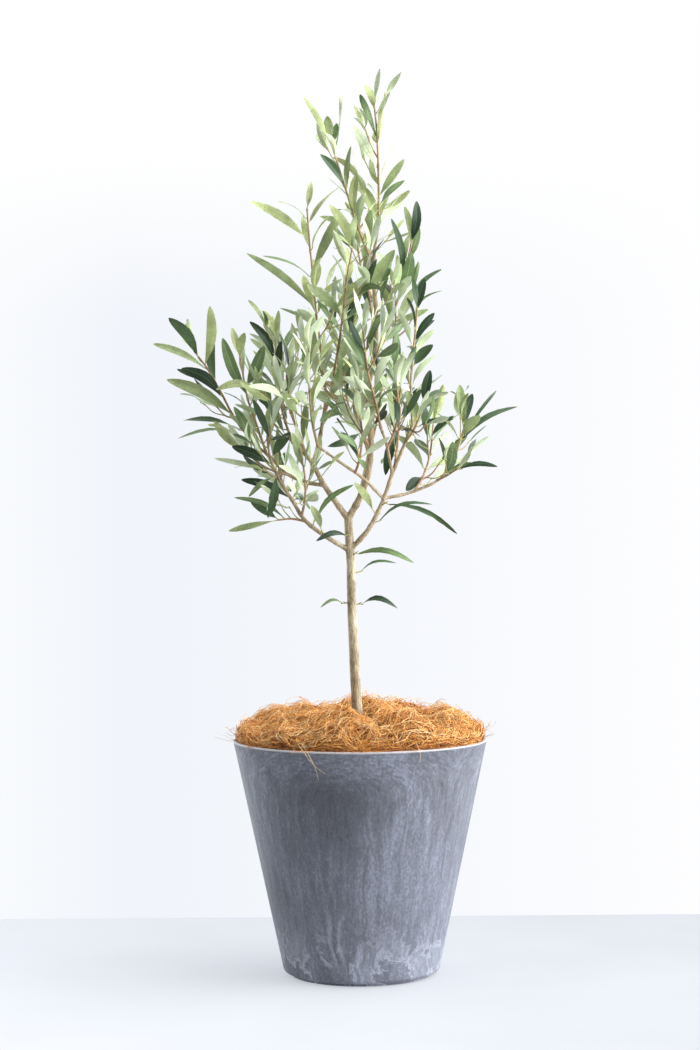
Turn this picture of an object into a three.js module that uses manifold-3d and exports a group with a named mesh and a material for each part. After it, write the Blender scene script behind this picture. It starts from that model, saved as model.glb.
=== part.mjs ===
// A young olive tree, 0.96 m tall, in the round tapered planter that it is sold with.
// Millimetres, +Z up. The origin is the centre of the planter's flat underside. +X runs along the
// broad side of the crown, and +Y runs towards its back.
import * as THREE from 'three';
import { OBB } from 'three/addons/math/OBB.js';
import { mergeVertices } from 'three/addons/utils/BufferGeometryUtils.js';
import Module from 'manifold-3d';

const wasm = await Module();
wasm.setup();

// ---- Driving dimensions -------------------------------------------------------------------------

const CLEAR = 0.3; // gap that neighbouring solids keep
const UP = new THREE.Vector3(0, 0, 1);
const BACK = new THREE.Vector3(0, 1, 0);

const PLANTER = {
  height: 250,
  rimRadius: 135,
  footRadius: 82,
  wall: 5,
  floor: 8,
  edge: 6, // rounding between side and foot
  lip: 1.2, // rounding of the rim
  standRadius: 75, // flat ring that it stands on
  standHeight: 3,
  segments: 40,
};

const SOIL_TOP = 236; // ground level inside the planter, where the trunk has its flat cut

const MULCH = {
  brink: 2, // rise over the rim at which the coir reaches the planter's outer edge
  overRim: 2, // how far it leans out over that edge
  overRise: 9, // rise at which it leans out furthest
  shoulder: 19, // rise to the shoulder of the mound
  shoulderIn: 8, // how far the shoulder lies inside the outer edge
  crest: 285, // height of the mound round the trunk
  dome: [[0.78, -7], [0.5, -1], [0.22, 1]], // shares of the rim's radius, and heights over the crest
  lump: 3.4, // height of its lumps
  level: 4, // rise over the rim that is free of lumps
  broad: [17, 14], // breadths of the broad lumps along X and Y
  fine: [8, 10], // breadths of the fine ones
  fineShare: 0.6, // their height against the broad ones
  phase: 0.8, // turn that keeps a broad lump off the trunk
};

// Stem radii are those of the bare wood. Points are places on the axis of a limb.
const TRUNK = {
  points: [[0, 0, SOIL_TOP - 8], [-5, 0, 320], [-7.4, 0, 395], [-8.6, 0, 440], [-11, 0, 486]],
  radii: [5.9, 4.5],
  flare: 3.4, // extra radius at the root flare
  flareHeight: 16, // height over which the flare fades to a third
  sides: 12,
  step: 20,
};

const BOUGH = { sides: 6, step: 20 };

const BOUGHS = {
  bough_leader_low: {
    on: ['trunk'],
    radii: [3.8, 2.9],
    points: [
      [-11, 0, 484], [2.5, 0, 509], [11, 2, 535], [13.5, 4, 565], [11.5, 6, 600], [11, 8, 628],
    ],
  },
  bough_leader_high: {
    on: ['bough_leader_low'],
    radii: [2.8, 2],
    points: [[11, 8, 628], [18, 9, 652], [20.5, 10, 700], [18, 10, 745], [19.5, 10, 772]],
  },
  bough_left_high: {
    on: ['trunk', 'bough_leader_low'],
    radii: [3.5, 2],
    points: [[-11, 0, 484], [-36, -2, 520], [-50, -3, 546], [-70, -4, 567]],
  },
  bough_left_wing: {
    on: ['bough_left_high'],
    radii: [2.2, 1.6],
    points: [[-36, -2, 520], [-56, 4, 524], [-78, 10, 534], [-92, 13, 549], [-112, 14, 566]],
  },
  bough_left_middle: {
    on: ['bough_left_high'],
    radii: [2.3, 1.8],
    points: [[-48, -3, 543], [-42, 4, 563], [-38, 7, 585], [-33, 8, 614]],
  },
  bough_left_low: {
    on: ['trunk'],
    radii: [2.8, 1.6],
    points: [[-9, 0, 450], [-39, -6, 469], [-57, -10, 484], [-70, -14, 505], [-84, -20, 527]],
  },
  bough_right_low: {
    on: ['trunk'],
    radii: [2.9, 1.7],
    points: [[-9, 0, 451], [11, -6, 474], [26, -11, 503], [36, -14, 532], [48, -16, 560], [58, -18, 584]],
  },
  bough_right_wing: {
    on: ['bough_right_low'],
    radii: [1.9, 1.3],
    points: [[27, -11, 506], [55, -6, 512], [88, 0, 527], [104, 6, 552]],
  },
  bough_right_inner: {
    on: ['bough_right_low'],
    radii: [1.8, 1.4],
    points: [[36, -14, 532], [31, -26, 560], [24, -40, 580]],
  },
  bough_front: {
    on: ['bough_right_low'],
    radii: [1.8, 1.4],
    points: [[27, -11, 505], [8, -18, 525], [-14, -32, 541], [-42, -50, 561]],
  },
  bough_back: {
    on: ['bough_leader_low'],
    radii: [2, 1.4],
    points: [[12.5, 3, 548], [8, 30, 566], [0, 58, 590]],
  },
  bough_back_low: {
    on: ['bough_leader_low'],
    radii: [2, 1.4],
    points: [[2.5, 0, 509], [6, 26, 530], [12, 52, 556]],
  },
  bough_back_left: {
    on: ['bough_left_high'],
    radii: [1.8, 1.3],
    points: [[-56, -3.3, 553], [-62, 24, 572], [-72, 50, 598]],
  },
  bough_back_right: {
    on: ['bough_leader_high'],
    radii: [1.7, 1.3],
    points: [[12.5, 8, 634], [28, 30, 650], [38, 50, 664]],
  },
};

const TWIG = {
  sides: 3,
  step: 20,
  stemRadii: [1.6, 0.9],
  sideRadii: [1.1, 0.8],
  corner: 1.5, // from the true radius to the corners of the three-sided section
  firstShare: 0.35, // of the way between two side twigs, before the first of them
  sharePlay: 0.4,
  lastShare: 0.6, // left over beyond the last side twig
  turn: 140, // degrees round the stem from one side twig to the next
  turnPlay: 60,
  lean: 48, // degrees between a side twig and its stem
  leanPlay: 24,
  sizePlay: [0.75, 1.15],
  rise: 0.6, // how strongly a side twig turns up to the light
  tries: 6,
};

const LEAF = {
  spacing: 21, // between leaf pairs along a twig
  widthShare: 0.21, // of its length
  thicknessShare: 0.022,
  sizePlay: [0.84, 1.12],
  widthPlay: [0.8, 1.2],
  firstTurn: 30, // degrees round the twig of the first pair
  turn: 90, // degrees from one pair to the next
  turnPlay: 40,
  lean: [52, 20], // degrees from the twig, at its foot and at its tip
  leanPlay: 12,
  rollPlay: 130, // degrees that the face turns about the blade
  archPlay: [-0.02, 0.09], // rise of the blade's middle, as a share of its length
  fixedArch: 0.03,
  belly: 0.5, // where the blade is widest
  sunk: 0.6, // how far the root lies behind the twig's axis, as a share of the twig's radius
  start: 4, // the petiole, which stays close to the twig
  tries: 7,
  margin: 0.35, // half the clearance between two leaves
};

// The crown's outline: no twig or leaf passes it.
const CROWN = new THREE.Box3(new THREE.Vector3(-217, -150, 380), new THREE.Vector3(171, 150, 963));

// A leaf whose tip is fixed: where it leaves its stem, as a share of the stem's length, its tip, its
// width, and how far its face is turned to the front, from 0 (edge on) to 1.
const leafTo = (share, tip, width, face) => ({ share, tip, width, face });

// Masses of foliage. Each grows round one stem, which starts on the axis of the limb that bears it.
const MASSES = {
  foliage_top: {
    on: ['bough_leader_high'],
    seed: 711,
    twigs: 2,
    twigLength: 38,
    leafLength: [50, 38],
    stem: [[19.5, 10, 772], [23.5, 10, 800], [24, 9, 850], [22.5, 8, 895], [20, 8, 924]],
    leaves: [
      leafTo(1, [25, 8, 963], 7, 0.5),
      leafTo(0.96, [11, 3, 945], 10, 0.9),
      leafTo(0.76, [6, 14, 937], 10, 0.6),
      leafTo(0.8, [37, 4, 937], 8, 0.4),
      leafTo(0.55, [-2, -2, 902], 11, 0.8),
      leafTo(0.36, [51, 4, 866], 10, 0.9),
      leafTo(0.2, [9, 0, 836], 13, 1),
    ],
  },
  foliage_top_left: {
    on: ['bough_leader_high'],
    seed: 12,
    twigs: 1,
    twigLength: 34,
    leafLength: [50, 36],
    stem: [[18.2, 10, 755], [6, 8, 783], [-6, 4, 818], [-20, 0, 864], [-26, -2, 884]],
    leaves: [
      leafTo(1, [-30, -4, 911], 12, 1),
      leafTo(0.97, [-20, -1, 904], 9, 0.8),
      leafTo(0.88, [-53, -8, 935], 6, 0.5),
      leafTo(0.9, [-17, 6, 936], 5, 0.5),
      leafTo(0.62, [-38, -6, 871], 10, 0.7),
      leafTo(0.6, [-5, 6, 880], 9, 0.6),
      leafTo(0.4, [1, -6, 850], 11, 0.9),
    ],
  },
  foliage_left_spire: {
    on: ['bough_left_middle'],
    seed: 363,
    twigs: 1,
    twigLength: 36,
    leafLength: [58, 46],
    stem: [
      [-33, 8, 614], [-38, 4, 658], [-43, 0, 700], [-46.5, -2, 742], [-50, -3, 780], [-52, -4, 812],
    ],
    leaves: [
      leafTo(1, [-48, -4, 842], 8, 0.9),
      leafTo(0.95, [-82, -10, 821], 6, 0.3),
      leafTo(0.93, [-16, -2, 840], 9, 0.4),
      leafTo(0.84, [-114, -14, 821], 11, 0.8),
      leafTo(0.64, [-99, -6, 764], 8, 0.3),
      leafTo(0.48, [-116, -2, 767], 10, 0.9),
      leafTo(0.37, [-82, 6, 709], 7, 0.4),
      leafTo(0.67, [-18, -6, 808], 13, 0.9),
    ],
  },
  foliage_centre_left: {
    on: ['bough_left_middle'],
    seed: 14,
    twigs: 2,
    twigLength: 40,
    leafLength: [60, 48],
    stem: [
      [-37.6, 7, 588], [-29, 0, 617], [-22, -6, 655], [-15, -12, 700], [-11, -15, 735], [-5, -16, 768],
    ],
    leaves: [
      leafTo(0.62, [-52, -28, 731], 16, 1),
      leafTo(0.7, [40, -26, 767], 17, 1),
      leafTo(1, [-28, -20, 816], 12, 0.9),
      leafTo(1, [0, -10, 806], 9, 0.6),
    ],
  },
  foliage_left_wing: {
    on: ['bough_left_wing'],
    seed: 15,
    twigs: 1,
    twigLength: 34,
    leafLength: [62, 46],
    stem: [[-112, 14, 566], [-131, 18, 592], [-147, 22, 622], [-160, 24, 645], [-174, 26, 664]],
    leaves: [
      leafTo(0.93, [-201, 18, 700], 14, 1),
      leafTo(1, [-184, 24, 694], 9, 0.8),
      leafTo(0.8, [-217, 14, 673], 10, 0.7),
      leafTo(0.5, [-187, 10, 646], 15, 1),
      leafTo(0.32, [-203, 8, 634], 15, 0.9),
      leafTo(0.84, [-157, 16, 712], 13, 1),
      leafTo(0.14, [-187, 28, 592], 9, 0.3),
      leafTo(0.05, [-191, 4, 576], 8, 0.35),
    ],
  },
  foliage_wing_inner: {
    on: ['bough_left_wing'],
    seed: 16,
    twigs: 1,
    twigLength: 36,
    leafLength: [60, 44],
    stem: [[-97, 13.4, 553], [-106, 4, 580], [-117, -4, 615], [-124, -10, 655]],
    leaves: [
      leafTo(1, [-132, -12, 688], 9, 0.7),
      leafTo(1, [-119, -14, 682], 11, 0.9),
      leafTo(0.62, [-142, -18, 676], 14, 1),
      leafTo(0.7, [-99, -20, 667], 14, 0.9),
    ],
  },
  foliage_left_inner: {
    on: ['bough_left_high'],
    seed: 367,
    twigs: 1,
    twigLength: 40,
    leafLength: [60, 44],
    stem: [[-70, -4, 567], [-80, -2, 600], [-86, 0, 640], [-87, 0, 678]],
    leaves: [
      leafTo(1, [-99, -2, 706], 9, 0.9),
      leafTo(1, [-83, -4, 706], 8, 0.7),
      leafTo(0.76, [-113, -8, 694], 11, 0.9),
    ],
  },
  foliage_left_front: {
    on: ['bough_left_high'],
    seed: 18,
    twigs: 2,
    twigLength: 44,
    leafLength: [60, 46],
    stem: [[-52, -3, 548], [-62, -22, 572], [-70, -36, 602], [-74, -46, 634]],
    leaves: [],
  },
  foliage_low_left: {
    on: ['bough_left_low'],
    seed: 19,
    twigs: 2,
    twigLength: 34,
    leafLength: [60, 46],
    stem: [[-84, -20, 527], [-92, -26, 548], [-95, -32, 572], [-93, -38, 594]],
    leaves: [
      leafTo(0.55, [-78, -58, 618], 15, 1),
      leafTo(0.25, [-132, -30, 562], 13, 0.9),
      leafTo(0.08, [-95, -36, 487], 12, 0.9),
      leafTo(1, [-101, -40, 634], 13, 0.9),
      leafTo(0.35, [-71, -34, 576], 12, 1),
    ],
  },
  foliage_low_left_tip: {
    on: ['bough_left_low'],
    seed: 20,
    twigs: 0,
    twigLength: 0,
    leafLength: [46, 40],
    stem: [[-55, -9.6, 482], [-70, -10, 485], [-84, -13, 484]],
    leaves: [
      leafTo(1, [-137, -22, 475], 9, 0.4),
      leafTo(1, [-114, -12, 504], 11, 0.9),
      leafTo(0.7, [-131, -26, 507], 8, 0.6),
    ],
  },
  foliage_low_left_back: {
    on: ['bough_left_low'],
    seed: 71,
    twigs: 1,
    twigLength: 30,
    leafLength: [54, 44],
    stem: [[-66, -12.5, 498], [-70, 6, 506], [-80, 30, 516], [-88, 50, 534]],
    leaves: [leafTo(0.3, [-124, 2, 527], 11, 0.8)],
  },
  foliage_low_left_front: {
    on: ['bough_left_low'],
    seed: 22,
    twigs: 1,
    twigLength: 30,
    leafLength: [54, 44],
    stem: [[-60, -11, 488], [-56, -30, 508], [-56, -48, 532], [-60, -60, 556]],
    leaves: [],
  },
  foliage_right_high: {
    on: ['bough_leader_high'],
    seed: 273,
    twigs: 1,
    twigLength: 34,
    leafLength: [54, 42],
    stem: [[18.3, 9, 653], [30, 4, 677], [39, 0, 702], [48, -4, 733], [58, -8, 775]],
    leaves: [
      leafTo(1, [64, -10, 820], 12, 1),
      leafTo(1, [52, -6, 815], 9, 0.8),
      leafTo(0.52, [58, -14, 765], 15, 1),
      leafTo(0.66, [37, -4, 802], 9, 0.8),
    ],
  },
  foliage_right_upper: {
    on: ['bough_right_low'],
    seed: 224,
    twigs: 2,
    twigLength: 38,
    leafLength: [56, 40],
    stem: [[58, -18, 584], [56, -14, 615], [58, -10, 650], [62, -6, 685], [64, -5, 704]],
    leaves: [
      leafTo(1, [72, -5, 738], 11, 0.9),
      leafTo(1, [60, -8, 737], 8, 0.7),
      leafTo(0.72, [82, -6, 702], 10, 0.8),
      leafTo(0.5, [80, -14, 668], 13, 0.9),
      leafTo(0.45, [38, -24, 658], 13, 1),
    ],
  },
  foliage_right_front: {
    on: ['bough_right_low'],
    seed: 25,
    twigs: 1,
    twigLength: 32,
    leafLength: [52, 42],
    stem: [[50, -16.4, 564.6], [60, -30, 580], [69, -38, 602]],
    leaves: [
      leafTo(1, [76, -42, 640], 12, 1),
      leafTo(0.9, [88, -30, 620], 13, 0.9),
      leafTo(0.6, [52, -50, 618], 13, 1),
    ],
  },
  foliage_right_middle: {
    on: ['bough_right_low'],
    seed: 476,
    twigs: 2,
    twigLength: 36,
    leafLength: [58, 46],
    stem: [[38.5, -14.4, 539], [42, 2, 562], [44, 16, 594], [42, 26, 628]],
    leaves: [leafTo(0.5, [29, -12, 531], 12, 1)],
  },
  foliage_right_wing: {
    on: ['bough_right_wing'],
    seed: 27,
    twigs: 0,
    twigLength: 0,
    leafLength: [50, 42],
    stem: [[104, 6, 552], [109, 9, 566], [114, 12, 582]],
    leaves: [
      leafTo(1, [109, 8, 626], 14, 1),
      leafTo(1, [123, 18, 617], 11, 0.9),
      leafTo(0.6, [130, 0, 593], 14, 0.9),
      leafTo(0.5, [171, 20, 603], 11, 0.5),
      leafTo(0.35, [149, 34, 621], 5, 0.5),
    ],
  },
  foliage_right_side: {
    on: ['bough_right_wing'],
    seed: 28,
    twigs: 0,
    twigLength: 0,
    leafLength: [46, 40],
    stem: [[84, -1, 524.5], [94, -10, 530], [104, -17, 536]],
    leaves: [
      leafTo(0.4, [100, -24, 565], 14, 1),
      leafTo(1, [147, -22, 539], 7, 0.4),
    ],
  },
  foliage_right_back: {
    on: ['bough_right_wing'],
    seed: 729,
    twigs: 2,
    twigLength: 34,
    leafLength: [56, 46],
    stem: [[60, -5, 514], [70, 20, 530], [78, 44, 554], [82, 60, 584]],
    leaves: [leafTo(0.3, [51, 6, 514], 12, 1)],
  },
  foliage_front: {
    on: ['bough_front'],
    seed: 180,
    twigs: 2,
    twigLength: 40,
    leafLength: [58, 44],
    stem: [[-42, -50, 561], [-48, -64, 590], [-50, -74, 625], [-50, -78, 660]],
    leaves: [],
  },
  foliage_front_right: {
    on: ['bough_right_inner'],
    seed: 331,
    twigs: 2,
    twigLength: 40,
    leafLength: [58, 44],
    stem: [[24, -40, 580], [18, -56, 608], [10, -68, 642], [6, -74, 678]],
    leaves: [],
  },
  foliage_front_high: {
    on: ['bough_leader_high'],
    seed: 232,
    twigs: 2,
    twigLength: 34,
    leafLength: [54, 42],
    stem: [[20, 9.7, 682], [16, -12, 700], [12, -30, 728], [14, -40, 762]],
    leaves: [],
  },
  foliage_centre: {
    on: ['bough_leader_low'],
    seed: 83,
    twigs: 2,
    twigLength: 40,
    leafLength: [58, 46],
    stem: [[11.5, 6, 600], [0, 16, 624], [-8, 26, 656], [-10, 32, 694]],
    leaves: [],
  },
  foliage_back: {
    on: ['bough_back'],
    seed: 34,
    twigs: 2,
    twigLength: 42,
    leafLength: [60, 44],
    stem: [[0, 58, 590], [-5, 72, 624], [-8, 82, 662], [-8, 88, 704]],
    leaves: [],
  },
  foliage_back_low: {
    on: ['bough_back_low'],
    seed: 35,
    twigs: 2,
    twigLength: 40,
    leafLength: [58, 44],
    stem: [[12, 52, 556], [20, 68, 584], [26, 84, 618]],
    leaves: [],
  },
  foliage_back_left: {
    on: ['bough_back_left'],
    seed: 36,
    twigs: 2,
    twigLength: 40,
    leafLength: [58, 44],
    stem: [[-72, 50, 598], [-80, 62, 628], [-86, 70, 662]],
    leaves: [],
  },
  foliage_back_right: {
    on: ['bough_back_right'],
    seed: 37,
    twigs: 2,
    twigLength: 36,
    leafLength: [56, 42],
    stem: [[38, 50, 664], [42, 62, 694], [42, 68, 730]],
    leaves: [],
  },
  foliage_back_high: {
    on: ['bough_leader_high'],
    seed: 38,
    twigs: 2,
    twigLength: 34,
    leafLength: [52, 40],
    stem: [[20, 10, 710], [12, 28, 732], [4, 40, 760], [0, 46, 792]],
    leaves: [],
  },
  foliage_centre_low: {
    on: ['bough_leader_low'],
    seed: 39,
    twigs: 3,
    twigLength: 38,
    leafLength: [56, 46],
    stem: [[13.2, 3.6, 558], [2, -8, 580], [-10, -16, 606], [-14, -24, 636]],
    leaves: [],
  },
  foliage_front_low: {
    on: ['bough_front'],
    seed: 40,
    twigs: 2,
    twigLength: 36,
    leafLength: [54, 44],
    stem: [[-3, -25, 533], [2, -40, 550], [4, -54, 576], [0, -62, 606]],
    leaves: [],
  },
  foliage_right_inner: {
    on: ['bough_right_inner'],
    seed: 791,
    twigs: 2,
    twigLength: 34,
    leafLength: [54, 44],
    stem: [[31, -26, 560], [40, -38, 582], [42, -48, 610], [38, -54, 640]],
    leaves: [],
  },
  foliage_wing_low: {
    on: ['bough_left_wing'],
    seed: 592,
    twigs: 2,
    twigLength: 34,
    leafLength: [54, 44],
    stem: [[-72, 8.4, 531], [-90, -2, 536], [-110, -10, 548], [-126, -14, 570]],
    leaves: [leafTo(0.3, [-152, -14, 549], 8, 0.35)],
  },
  sprout_trunk_left: {
    on: ['trunk'],
    stem: [[-7.4, 0, 393], [-15, -1, 395.5]],
    leaves: [leafTo(0.8, [-41, -6, 391], 9, 0.4)],
  },
  sprout_trunk_right: {
    on: ['trunk'],
    stem: [[-7.4, 0, 391], [0.5, -1, 394.5]],
    leaves: [leafTo(0.8, [41, -10, 391], 11, 0.5)],
  },
  sprout_trunk_thin: {
    on: ['trunk'],
    stem: [[-8.2, 0, 425], [0, 1, 428]],
    leaves: [leafTo(0.8, [40, 6, 437], 7, 0.4)],
  },
  sprout_trunk_high: {
    on: ['trunk'],
    stem: [[-8.7, 0, 444], [-2, -6, 449]],
    leaves: [leafTo(0.8, [58, -20, 438], 11, 0.7)],
  },
  sprout_trunk_front: {
    on: ['trunk'],
    stem: [[-10, 0, 466], [-10, -8.5, 468]],
    leaves: [leafTo(0.8, [-44, -22, 462], 10, 0.6)],
  },
  sprout_right_droop: {
    on: ['bough_right_low'],
    stem: [[23.6, -10.2, 498], [30, -18, 502]],
    leaves: [leafTo(0.8, [103, -34, 469], 9, 0.8)],
  },
  sprout_right_inner: {
    on: ['bough_right_low'],
    stem: [[19, -8.8, 489], [16, -14, 493]],
    leaves: [leafTo(0.8, [-4, -22, 523], 13, 1)],
  },
  sprout_right_thin: {
    on: ['bough_right_low'],
    stem: [[13.5, -6.8, 479], [20, -8, 481.5]],
    leaves: [leafTo(0.8, [78, -10, 500], 6, 0.4)],
  },
  sprout_left_low: {
    on: ['bough_left_low'],
    stem: [[-37, -5.6, 467.6], [-39, -12, 473]],
    leaves: [leafTo(0.8, [-50, -24, 499], 13, 1)],
  },
  sprout_left_inner: {
    on: ['bough_left_low'],
    stem: [[-48, -8, 475.6], [-47, -8, 483]],
    leaves: [leafTo(0.8, [-6, -12, 521], 10, 0.8)],
  },
};

const COLOURS = {
  planter: { color: 0x74808f, roughness: 0.75 },
  soil: { color: 0x3b2a1e, roughness: 0.95 },
  coir: { color: 0xb8743a, roughness: 0.95 },
  bark: { color: 0x9a8266, roughness: 0.8 },
  foliage: { color: 0x6e8858, roughness: 0.5 },
};

// ---- Solids -------------------------------------------------------------------------------------

/** A closed geometry with shared vertices and no collapsed triangles. */
function welded(geometry) {
  geometry.deleteAttribute('normal');
  geometry.deleteAttribute('uv');
  const merged = mergeVertices(geometry, 1e-4);
  const index = [...merged.index.array];
  const kept = [];
  for (let i = 0; i < index.length; i += 3) {
    const [a, b, c] = index.slice(i, i + 3);
    if (a !== b && b !== c && c !== a) kept.push(a, b, c);
  }
  merged.setIndex(kept);
  return merged;
}

/** The solid that a closed geometry bounds, ready to be joined and cut. */
function solidOf(geometry) {
  const { attributes, index } = welded(geometry);
  return new wasm.Manifold(new wasm.Mesh({
    numProp: 3,
    vertProperties: new Float32Array(attributes.position.array),
    triVerts: new Uint32Array(index.array),
  }));
}

/** The geometry of a joined or cut solid. */
function geometryOf(solid) {
  const { vertProperties, triVerts } = solid.getMesh();
  const geometry = new THREE.BufferGeometry();
  geometry.setAttribute('position', new THREE.BufferAttribute(vertProperties, 3));
  geometry.setIndex(new THREE.BufferAttribute(triVerts, 1));
  return geometry;
}

/** A solid less the space of another, without the scraps that this leaves. */
function cutClear(solid, space) {
  const pieces = solid.subtract(space).decompose();
  return pieces.reduce((largest, piece) => (piece.volume() > largest.volume() ? piece : largest));
}

const tree = new THREE.Group();

/** Puts a named mesh of one finish in the tree. */
function place(name, geometry, finish) {
  const material = new THREE.MeshStandardMaterial({ metalness: 0, ...COLOURS[finish] });
  const mesh = new THREE.Mesh(geometry, material);
  mesh.name = name;
  tree.add(mesh);
}

/** A solid of revolution about Z, from an outline of [radius, height] points. */
function turned(outline, segments) {
  const points = outline.map(([radius, height]) => new THREE.Vector2(radius, height));
  return new THREE.LatheGeometry(points, segments).rotateX(Math.PI / 2);
}

// ---- Planter, soil and mulch --------------------------------------------------------------------

const slope = (PLANTER.rimRadius - PLANTER.footRadius) / PLANTER.height;
const outerRadius = (height) => PLANTER.footRadius + slope * height;
const innerRadius = (height) => outerRadius(height) - PLANTER.wall;

function planter() {
  const { height, rimRadius, wall, floor, edge, lip, standRadius, standHeight, segments } = PLANTER;
  const corner = (share) => {
    const angle = share * Math.PI / 2;
    const radius = outerRadius(standHeight + edge) - edge * (1 - Math.sin(angle));
    return [radius, standHeight + edge * (1 - Math.cos(angle))];
  };
  const outline = [
    [0, 0],
    [standRadius, 0],
    [standRadius, standHeight],
    corner(0),
    corner(1 / 2),
    corner(1),
    [outerRadius(height - lip), height - lip],
    [rimRadius - lip, height],
    [rimRadius - wall + lip, height],
    [innerRadius(height - lip), height - lip],
    [innerRadius(floor), floor],
    [0, floor],
  ];
  return turned(outline, segments);
}

function soil() {
  const foot = PLANTER.floor + CLEAR;
  const outline = [
    [0, foot],
    [innerRadius(foot) - CLEAR, foot],
    [innerRadius(SOIL_TOP) - CLEAR, SOIL_TOP],
    [0, SOIL_TOP],
  ];
  return turned(outline, PLANTER.segments);
}

/** A lumpy mound of coir that fills the planter's mouth, cut clear of the trunk. */
function mulch(trunkSpace) {
  const { crest, lump, broad, fine } = MULCH;
  const foot = SOIL_TOP + CLEAR;
  const rim = PLANTER.height + CLEAR;
  const outer = PLANTER.rimRadius;
  const outline = [
    [0, foot],
    [innerRadius(foot) - CLEAR, foot],
    [innerRadius(rim) - CLEAR, rim],
    [outer, rim + MULCH.brink],
    [outer + MULCH.overRim, rim + MULCH.overRise],
    [outer - MULCH.shoulderIn, rim + MULCH.shoulder],
    ...MULCH.dome.map(([share, rise]) => [outer * share, crest + rise]),
    [0, crest],
  ];
  const mound = turned(outline, PLANTER.segments);
  const position = mound.attributes.position;
  for (let i = 0; i < position.count; i += 1) {
    const [x, y, z] = [position.getX(i), position.getY(i), position.getZ(i)];
    const share = THREE.MathUtils.clamp((z - rim - MULCH.level) / MULCH.shoulder, 0, 1);
    const broadWave = Math.sin(x / broad[0] + MULCH.phase) * Math.cos(y / broad[1]);
    const fineWave = Math.sin(x / fine[0] - y / fine[1]);
    position.setZ(i, z + lump * share * (broadWave + MULCH.fineShare * fineWave));
  }
  return geometryOf(cutClear(solidOf(mound), trunkSpace));
}

// ---- Limbs --------------------------------------------------------------------------------------

/** The axis of a limb or twig: points spaced evenly along a smooth curve, and a frame at each. */
class Axis {
  constructor(points, step) {
    const curve = new THREE.CatmullRomCurve3(points.map((point) => new THREE.Vector3(...point)));
    curve.curveType = 'catmullrom';
    const given = curve.points;
    const span = given.slice(1).reduce((sum, point, i) => sum + point.distanceTo(given[i]), 0);
    this.samples = curve.getPoints(Math.max(given.length - 1, Math.round(span / step)));
    this.lengths = [0];
    for (let i = 1; i < this.samples.length; i += 1) {
      this.lengths.push(this.lengths[i - 1] + this.samples[i].distanceTo(this.samples[i - 1]));
    }
    const chord = given.at(-1).clone().sub(given[0]).normalize();
    this.reference = Math.abs(chord.y) > 0.8 ? UP : BACK;
  }

  get length() {
    return this.lengths.at(-1);
  }

  /** The direction of growth at a sample. */
  tangent(i) {
    const last = this.samples.length - 1;
    const ahead = this.samples[Math.min(i + 1, last)];
    return ahead.clone().sub(this.samples[Math.max(i - 1, 0)]).normalize();
  }

  /** Two directions across the axis: to its right and to its back. */
  across(tangent) {
    const right = this.reference.clone().cross(tangent).normalize();
    return { right, back: tangent.clone().cross(right) };
  }

  /** The place and direction at a distance from the foot. */
  at(distance) {
    let i = 1;
    while (i < this.samples.length - 1 && this.lengths[i] < distance) i += 1;
    const share = (distance - this.lengths[i - 1]) / (this.lengths[i] - this.lengths[i - 1]);
    const point = this.samples[i - 1].clone().lerp(this.samples[i], share);
    const tangent = this.tangent(i - 1).lerp(this.tangent(i), share).normalize();
    return { point, tangent, ...this.across(tangent) };
  }
}

/** Radius of a limb that tapers evenly, at a share of its length. */
const taper = ([foot, tip]) => (share) => THREE.MathUtils.lerp(foot, tip, share);

/** Radius of the trunk, with the flare over its roots. */
function trunkRadius(share) {
  const flare = TRUNK.flare * Math.exp(-share * trunkAxis.length / TRUNK.flareHeight);
  return taper(TRUNK.radii)(share) + flare;
}

/** A cylinder bent along an axis. Extra is added to its radius and to both its ends. */
function limb(axis, radiusAt, sides, extra = 0) {
  const rings = axis.samples.length - 1;
  const corner = sides === TWIG.sides ? TWIG.corner : 1;
  const shape = new THREE.CylinderGeometry(1, 1, 1, sides, rings);
  const position = shape.attributes.position;
  for (let i = 0; i < position.count; i += 1) {
    const ring = Math.round((position.getY(i) + 0.5) * rings);
    const tangent = axis.tangent(ring);
    const { right, back } = axis.across(tangent);
    const radius = radiusAt(axis.lengths[ring] / axis.length) * corner + extra;
    const end = (ring === rings ? extra : 0) - (ring === 0 ? extra : 0);
    const vertex = axis.samples[ring].clone().addScaledVector(tangent, end);
    vertex.addScaledVector(right, position.getX(i) * radius);
    vertex.addScaledVector(back, -position.getZ(i) * radius);
    position.setXYZ(i, vertex.x, vertex.y, vertex.z);
  }
  return solidOf(shape);
}

// ---- Space that is taken ------------------------------------------------------------------------

const taken = []; // boxes of everything that has grown, with their owners

/** A box round the line from one point to another, lying flat along a side direction. */
function boxAlong(from, to, side, halfWidth, halfThickness) {
  const along = to.clone().sub(from);
  const half = new THREE.Vector3(along.length() / 2, halfWidth, halfThickness).addScalar(LEAF.margin);
  along.normalize();
  const face = along.clone().cross(side).normalize();
  const flat = face.clone().cross(along);
  const turn = new THREE.Matrix3(
    along.x, flat.x, face.x,
    along.y, flat.y, face.y,
    along.z, flat.z, face.z,
  );
  return new OBB(from.clone().add(to).multiplyScalar(0.5), half, turn);
}

/** Boxes along a limb or twig, from a distance off its foot. */
function boxesAlong(axis, radiusAt, start = 0) {
  const boxes = [];
  for (let i = 1; i < axis.samples.length; i += 1) {
    if (axis.lengths[i] <= start) continue;
    const radius = radiusAt(axis.lengths[i - 1] / axis.length);
    const from = axis.lengths[i - 1] < start ? axis.at(start).point : axis.samples[i - 1];
    const { right } = axis.across(axis.tangent(i));
    boxes.push(boxAlong(from, axis.samples[i], right, radius, radius));
  }
  return boxes;
}

/** Whether boxes touch nothing that has grown, apart from what shares their twig's own node. */
function isClear(boxes, shoot, node) {
  return taken.every((other) => {
    if (other.shoot === shoot && (other.node === node || other.node === undefined)) return true;
    return !boxes.some((box) => box.intersectsOBB(other.box));
  });
}

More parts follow.
